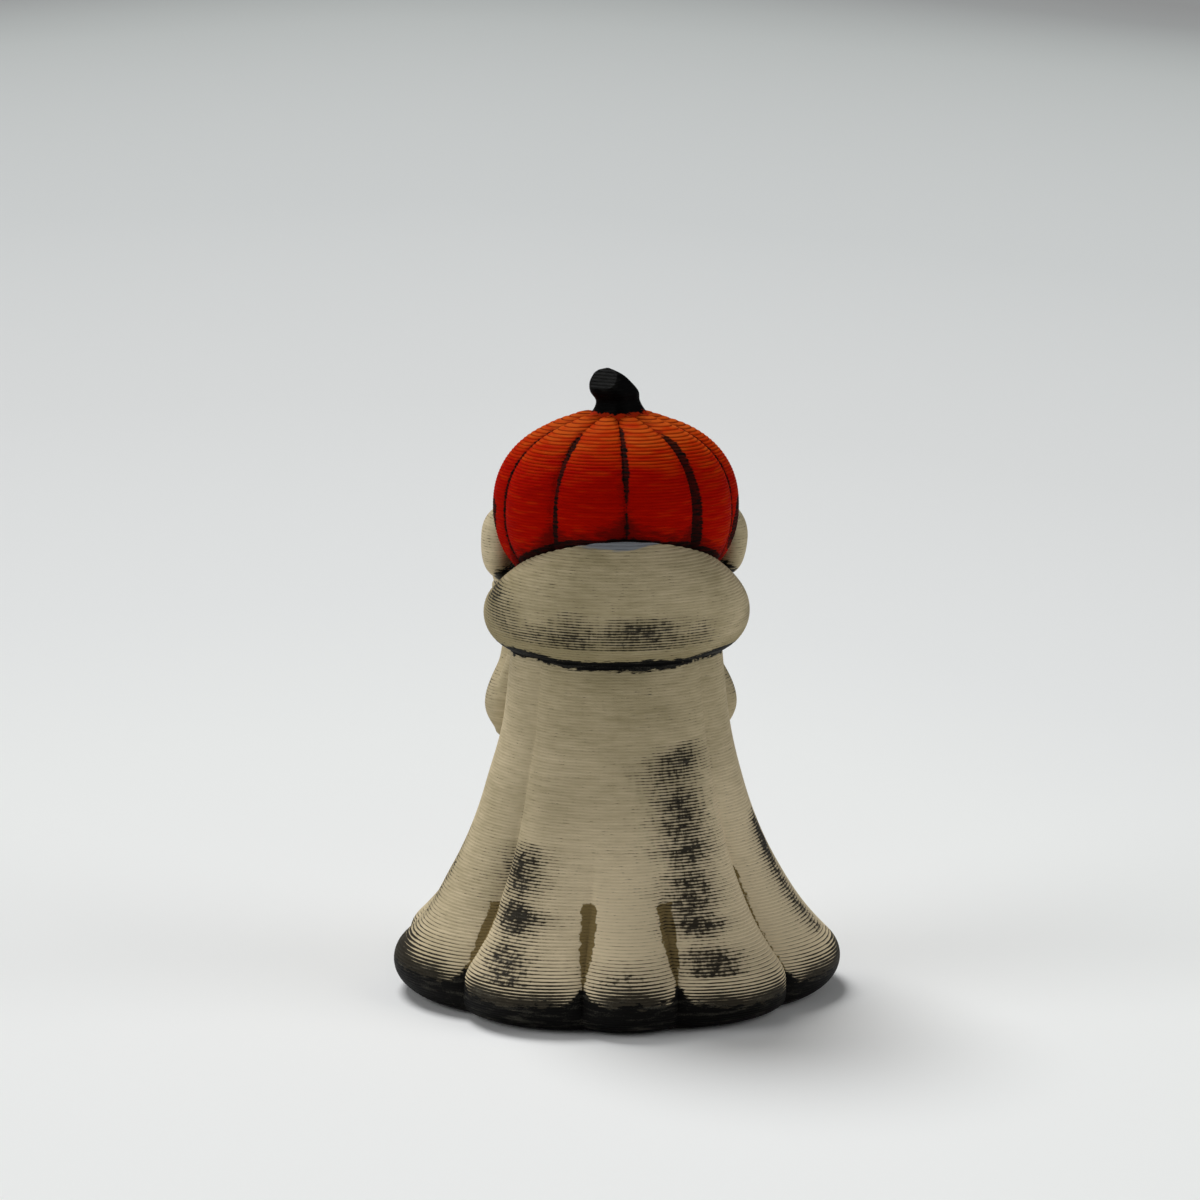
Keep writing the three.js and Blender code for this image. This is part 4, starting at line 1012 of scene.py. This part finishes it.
# %% Maps of the hood
HOOD_STROKES = [
    [(-5, 38.6, 3.0, 0.35), (-6, 37.8, 4.2, 0.7), (-5, 36.8, 5.0, 0.8), (-5, 35.8, 5.5, 0.7),
     (-4, 35.1, 4.5, 0.5)],
    [(21, 39, 1.6, 0.35), (21, 37.6, 2.6, 0.6), (22, 36.2, 3.8, 0.75), (23, 35.2, 3.6, 0.55)],
    [(40, 37.4, 2.4, 0.35), (37, 36.4, 3.6, 0.55), (36, 35.4, 3.8, 0.5)],
    [(-33, 38, 1.2, 0.3), (-32, 36.6, 1.8, 0.5), (-31, 35.4, 2.0, 0.35)],
    [(76, 41.4, 2.0, 0.4), (71, 40, 3.2, 0.75), (66, 38.6, 3.6, 0.65), (60, 37.4, 3.2, 0.5),
     (50, 36, 3.2, 0.5)],
    [(-75, 38, 1.5, 0.3), (-72, 36.4, 2.5, 0.4)],
    [(180, 38, 4.0, 0.5), (178, 35.5, 5.0, 0.4)],
    [(120, 38.5, 1.5, 0.4), (118, 36, 2.5, 0.4)],
]
BARE_MIDDLE, BARE_HALF_ANGLE = 3, 19  # degrees: the strip of bare primer
BARE_WIDTH, BARE_TRIM = 1.6, 0.55  # mm down from the pumpkin
STROKE_RISE, STROKE_SIDE_RISE, STROKE_SWING = 0.38, 0.5, 0.08  # the black stroke along the foot

from_back, radius, height = polar(points_of(hood))
rise_share = (height - SHOULDER_HEIGHT) / eased(HOOD_RISE, from_back)
meet = meet_height(from_back)
off_meet = np.hypot(radius - smooth_head_radius(meet, GLUE_GAP), height - meet)
bare_reach = BARE_WIDTH * bell(np.degrees(from_back) - BARE_MIDDLE, BARE_HALF_ANGLE) - BARE_TRIM
stroke_top = (STROKE_RISE + STROKE_SWING * np.sin(from_back * 7 + 2)
              + STROKE_SIDE_RISE * smoothstep(np.abs(from_back), 0.45, 0.95))
paint_maps(hood, black_edge=CRISP * (height - SHOULDER_HEIGHT - stroke_top),
           dry_brush=blots(from_back, height, radius, HOOD_STROKES),
           # painted shade: dark lines between the layers high on the hood's top slope
           layer_ink=0.16 * smoothstep(rise_share, 0.7, 0.95),
           brown_edge=FAR, bare_edge=off_meet - bare_reach,
           # painted shade: darker along the hood's foot and on its left
           brightness=-0.1 * np.sin(from_back) - 0.22 * (1 - smoothstep(height, 34, 36.8)))
hand_over(hood, "hood_collar", cream)

# %% [markdown]
# ## Where the pumpkin's paints lie
#
# The distance to the nearest groove is r / 5 x sin(5 x angle): it is zero in each groove and nowhere
# else, and its sign turns from one groove to the next, so it never jumps between two points. The painted
# lines miss the grooves by a little, as a hand does, so each has its own shift and its own widths.

# %% Maps of the pumpkin: the lines in its grooves
# Each line's shift in degrees, and its half widths in mm at these heights; the first is at the back
LINE_HEIGHTS = [42.5, 46.5, 48.3, 51.5, 54.2, 55, 55.4]
LINES = [
    (-1, (0.14, 0.2, 0.06, 0.34, 0.26, 0.2, -0.1)),
    (-2, (0.3, 0.34, 0.28, 0.36, 0.42, -0.2, -0.4)),
    (1, (0.12, 0.13, 0.15, 0.13, 0.1, 0.0, -0.1)),
    (0, (0.2, 0.2, 0.15, 0.2, 0.15, 0.1, -0.1)),
    (0, (0.15, 0.3, 0.25, 0.2, 0.15, 0.1, -0.1)),
    (0, (0.2, 0.2, 0.2, 0.3, 0.2, 0.15, -0.1)),
    (0, (0.15, 0.2, 0.3, 0.25, 0.2, 0.0, -0.1)),
    (0, (0.2, 0.2, 0.15, 0.2, 0.15, 0.1, -0.1)),
    (-1, (0.12, 0.12, 0.12, 0.12, 0.1, 0.0, -0.1)),
    (-2, (0.56, 0.6, 0.56, 0.44, 0.36, -0.2, -0.4)),
]
RIB_TURN, HALF_RIBS = math.radians(360 / RIBS), RIBS / 2

points = points_of(pumpkin)
from_back, radius, height = polar(points)
once_round = from_back % (2 * math.pi)
line_angles = np.radians(np.arange(RIBS + 1) * 360 / RIBS)
shifts = np.interp(once_round, line_angles, np.radians([line[0] for line in LINES + LINES[:1]]))
widths = np.array([np.interp(height, LINE_HEIGHTS, line[1]) for line in LINES])
nearest = np.round(once_round / RIB_TURN).astype(int) % RIBS
paint_maps(pumpkin, groove_distance=radius / HALF_RIBS * np.sin(HALF_RIBS * (from_back - shifts)),
           groove_width=widths[nearest, np.arange(len(height))])
print(len(LINES), "painted lines")

# %% Maps of the pumpkin: black edges and shades
# Black along the hood: how high in its middle, how much higher at the sides, and its angles in degrees
LINING, LINING_SIDES, LINING_MIDDLE, LINING_TURN = 0.22, 0.45, -4, (14, 30)
HOLLOW_EDGE = (0.05, 0.2)
GROOVE_SHADE, GROOVE_SHADE_WIDTH = 0.42, 1.1
FOOT_SHADE, FOOT_SHADE_RISE = 0.58, (0.3, 3.2)
# Degrees, radius, height and size of the black dabs at the fingertips, and the side they lie on
FINGERTIPS = [(86, 12.8, 47, 1.5, 1), (88, 12.7, 46, 1.6, 1), (84, 12.4, 46.6, 1.7, -1),
              (82, 11.8, 45.4, 1.6, -1), (81, 11.3, 44.2, 1.4, -1)]


def blob_distance(points, degrees, radius, height, size, side):
    """Distance from points to a ball of some size whose middle lies at an angle, radius and height."""
    middle = around(radius, math.radians(degrees), height) * [side, 1, 1]
    return np.linalg.norm(points - middle, axis=1) - size


above_hood = height - meet_height(from_back)
black_edge = above_hood - (LINING + LINING_SIDES * smoothstep(
    np.abs(np.degrees(from_back) - LINING_MIDDLE), *LINING_TURN))
for blob in FINGERTIPS:
    black_edge = np.minimum(black_edge, blob_distance(points, *blob))
paint_maps(pumpkin, black_edge=black_edge, hollow=1 - smoothstep(face_distance(points), *HOLLOW_EDGE))

# Painted shade in the grooves and low down by the hood; a more orange paint towards the top; painted light
# on the crests, at the sides and a little on the right
off_groove = np.abs(np.sin(HALF_RIBS * from_back)) * radius / HALF_RIBS
near_hood = 1 - smoothstep(above_hood, *FOOT_SHADE_RISE)
lightness = 0.08 - 0.06 * np.sin(from_back) + 0.72 * smoothstep(height, 49.5, 56)
lightness += 0.12 * rib_crest(from_back)
lightness += 0.16 * np.sin(from_back) ** 2
paint_maps(pumpkin, lightness=lightness,
           groove_shadow=GROOVE_SHADE * bell(off_groove, GROOVE_SHADE_WIDTH) + FOOT_SHADE * near_hood)
hand_over(pumpkin, "pumpkin_head", orange)

# %% [markdown]
# ## Where the other paints lie
#
# The hands have black at their fingertips, along the hood and in the crease of the wrist, and the right
# one is painted darker than the left as painted shade. The elbows are dry-brushed on top. The stem's cut is
# painted greyer, as wear and painted sheen, and its foot is orange.

# %% Maps of the hands and sleeves
CUFF_TOP = 38.4
HOOD_LINING = {1: 0.8, -1: 1.2}  # the left and the right hand are black to this far from the hood
ELBOW, ELBOW_PATCH = (124, 3.5, -6), 1.7


def hood_distance(points):
    """About how far points lie outside the hood: its half thickness x (their share of its section - 1)."""
    angle, out, level = polar(points)
    half_thick = eased(HOOD_HALF_THICKNESS, angle)
    off_middle = (out - eased(HOOD_RADIUS, angle) + half_thick) / half_thick
    above_middle = (level - SHOULDER_HEIGHT + HOOD_SINK - half_tall(angle)) / half_tall(angle)
    return half_thick * (np.hypot(off_middle, above_middle) - 1)


for side, name in SIDES:
    points = points_of(hands[name])
    edge = np.minimum(hood_distance(points) - HOOD_LINING[side], points[:, 2] - CUFF_TOP)
    # The right hand's tone is painted darker than the left one's, as painted shade on the side that gets
    # less light
    hand_maps = {"black_edge": 1.5 * np.minimum(edge, blob_distance(points, *FINGERTIPS[0][:4], side)),
                 "dry_brush": 0.1, "brightness": 0.24 + 0.12 * side}
    points = points_of(sleeves[name])
    elbow = placed([ELBOW], SHOULDER_RADIUS, SHOULDER_HEIGHT, side)[0]
    off_elbow = np.linalg.norm(points - elbow, axis=1)
    sleeve_maps = {"black_edge": FAR, "dry_brush": 0.65 * bell(off_elbow, ELBOW_PATCH), "brightness": 0.08}
    for piece, node, own in ((hands[name], "hand", hand_maps), (sleeves[name], "sleeve", sleeve_maps)):
        paint_maps(piece, **own, layer_ink=0, brown_edge=FAR, bare_edge=FAR)
        hand_over(piece, f"{name}_{node}", cream)

# %% Maps of the stem
points = points_of(stem)
above_cut = (points - cut_middle) @ STEM_CUT_FACING / np.linalg.norm(STEM_CUT_FACING)
# The cut is painted greyer: wear, and painted sheen where it faces the light
paint_maps(stem, worn=0.35 * smoothstep(above_cut, -0.5, -0.02),
           orange_reach=np.maximum(STEM_SEAT + 1.1 - points[:, 2], 0))
hand_over(stem, "pumpkin_stem", black_paint)

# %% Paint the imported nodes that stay
for node in ("base_plate", "neck_dowel", "left_elbow_pin", "right_elbow_pin", "left_forearm_pin",
             "right_forearm_pin"):
    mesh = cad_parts[node].data
    paint = black_paint if node == "base_plate" else filament
    mesh.materials.clear()
    mesh.materials.append(paint)
    print(node, "painted with", paint.name)

# %% [markdown]
# ## Light and floor
#
# A soft studio light: an even sky, one wide lamp overhead that leans to the far side, and one at each
# side. The floor is a pale sheet with painted shade: its own colour darkens slowly into the distance,
# towards the far corners and on the right, so no light has to change for it.

# %% Light
SKY_STRENGTH = 0.115
# Name, where it shines from, strength and how wide it looks in degrees
LAMPS = [("overhead_softbox", (0.28, -0.5, 1), 2.12, 27), ("left_softbox", (1, 0.3, 0.6), 0.8, 40),
         ("right_softbox", (-1, 0.35, 0.6), 0.58, 40)]

world = bpy.data.worlds.new("studio")
world.use_nodes = True
bpy.context.scene.world = world
tree = world.node_tree
tree.nodes.clear()
rays = add(tree, "LightPath", {}, {})
light = add(tree, "Background", {}, ((1, 1, 1, 1), SKY_STRENGTH))
backdrop = add(tree, "Background", {}, (linear("#b4b8b8"), 1.0))
mixed = add(tree, "MixShader", {}, (rays.outputs["Is Camera Ray"], light, backdrop))
add(tree, "OutputWorld", {}, {"Surface": mixed})

for name, shines_from, strength, spread in LAMPS:
    lamp = bpy.data.objects.new(name, bpy.data.lights.new(name, "SUN"))
    lamp.data.energy, lamp.data.angle = strength, math.radians(spread)
    lamp.rotation_mode = "QUATERNION"
    lamp.rotation_quaternion = (-Vector(shines_from)).to_track_quat("-Z", "Y")
    bpy.context.scene.collection.objects.link(lamp)
print(len(LAMPS), "lamps and a sky")

# %% Floor
FLOOR_RINGS, SPOKES = [60, 400, 2000, 8000], 96
# Painted shade for each metre away from the figurine, and the most painted shade that the picture's right
# side adds; the far corners darken by their squared distance from a middle line that turns by this much
SHADE_AWAY, RIGHT_SHADE, MIDDLE_TURN = 0.195, 0.14, 0.044

rings = around(np.array(FLOOR_RINGS)[:, None], -ring_angles(SPOKES), 0)
faces = bands(len(FLOOR_RINGS), SPOKES) + [list(range(SPOKES))]
floor = make_object("floor", rings.reshape(-1, 3), faces)
sheet, tree, shader = new_paint("matt_white_card")
here = add(tree, "TexCoord", {}, {}).outputs["Object"]
away_from = add(tree, "VectorMath", {"operation": "LENGTH"}, (here,)).outputs["Value"]
ways = add(tree, "SeparateXYZ", {}, {"Vector": here})
off_middle = add(tree, "Math", MULTIPLY_ADD, (ways.outputs["Y"], -MIDDLE_TURN, ways.outputs["X"]))
off_middle = add(tree, "Math", MULTIPLY, (off_middle, off_middle))
behind = add(tree, "MapRange", {}, (ways.outputs["Y"], 0.0, -2.5))
corners = add(tree, "Math", MULTIPLY, (off_middle, behind))
right = add(tree, "MapRange", {}, (ways.outputs["X"], -0.02, -0.6, 0.0, RIGHT_SHADE))
corners = add(tree, "Math", {"operation": "ADD"}, (corners, right))
shade = add(tree, "Math", MULTIPLY_ADD, (away_from, SHADE_AWAY, corners))
ramp = add(tree, "ValToRGB", {}, {"Fac": shade})
set_stops(ramp, [(0, "#f3f4f4"), (0.022, "#f0f2f1"), (0.042, "#e9ebeb"), (0.09, "#dfe1e1"),
                 (0.19, "#d2d5d5"), (0.52, "#bdc1c0"), (0.64, "#b1b5b4"), (0.83, "#9b9d9d"), (1, "#929393")])
wire(tree, shader, {"Base Color": ramp, "Roughness": 0.85, "Specular IOR Level": 0.2})
floor.data.materials.append(sheet)
print("floor made")
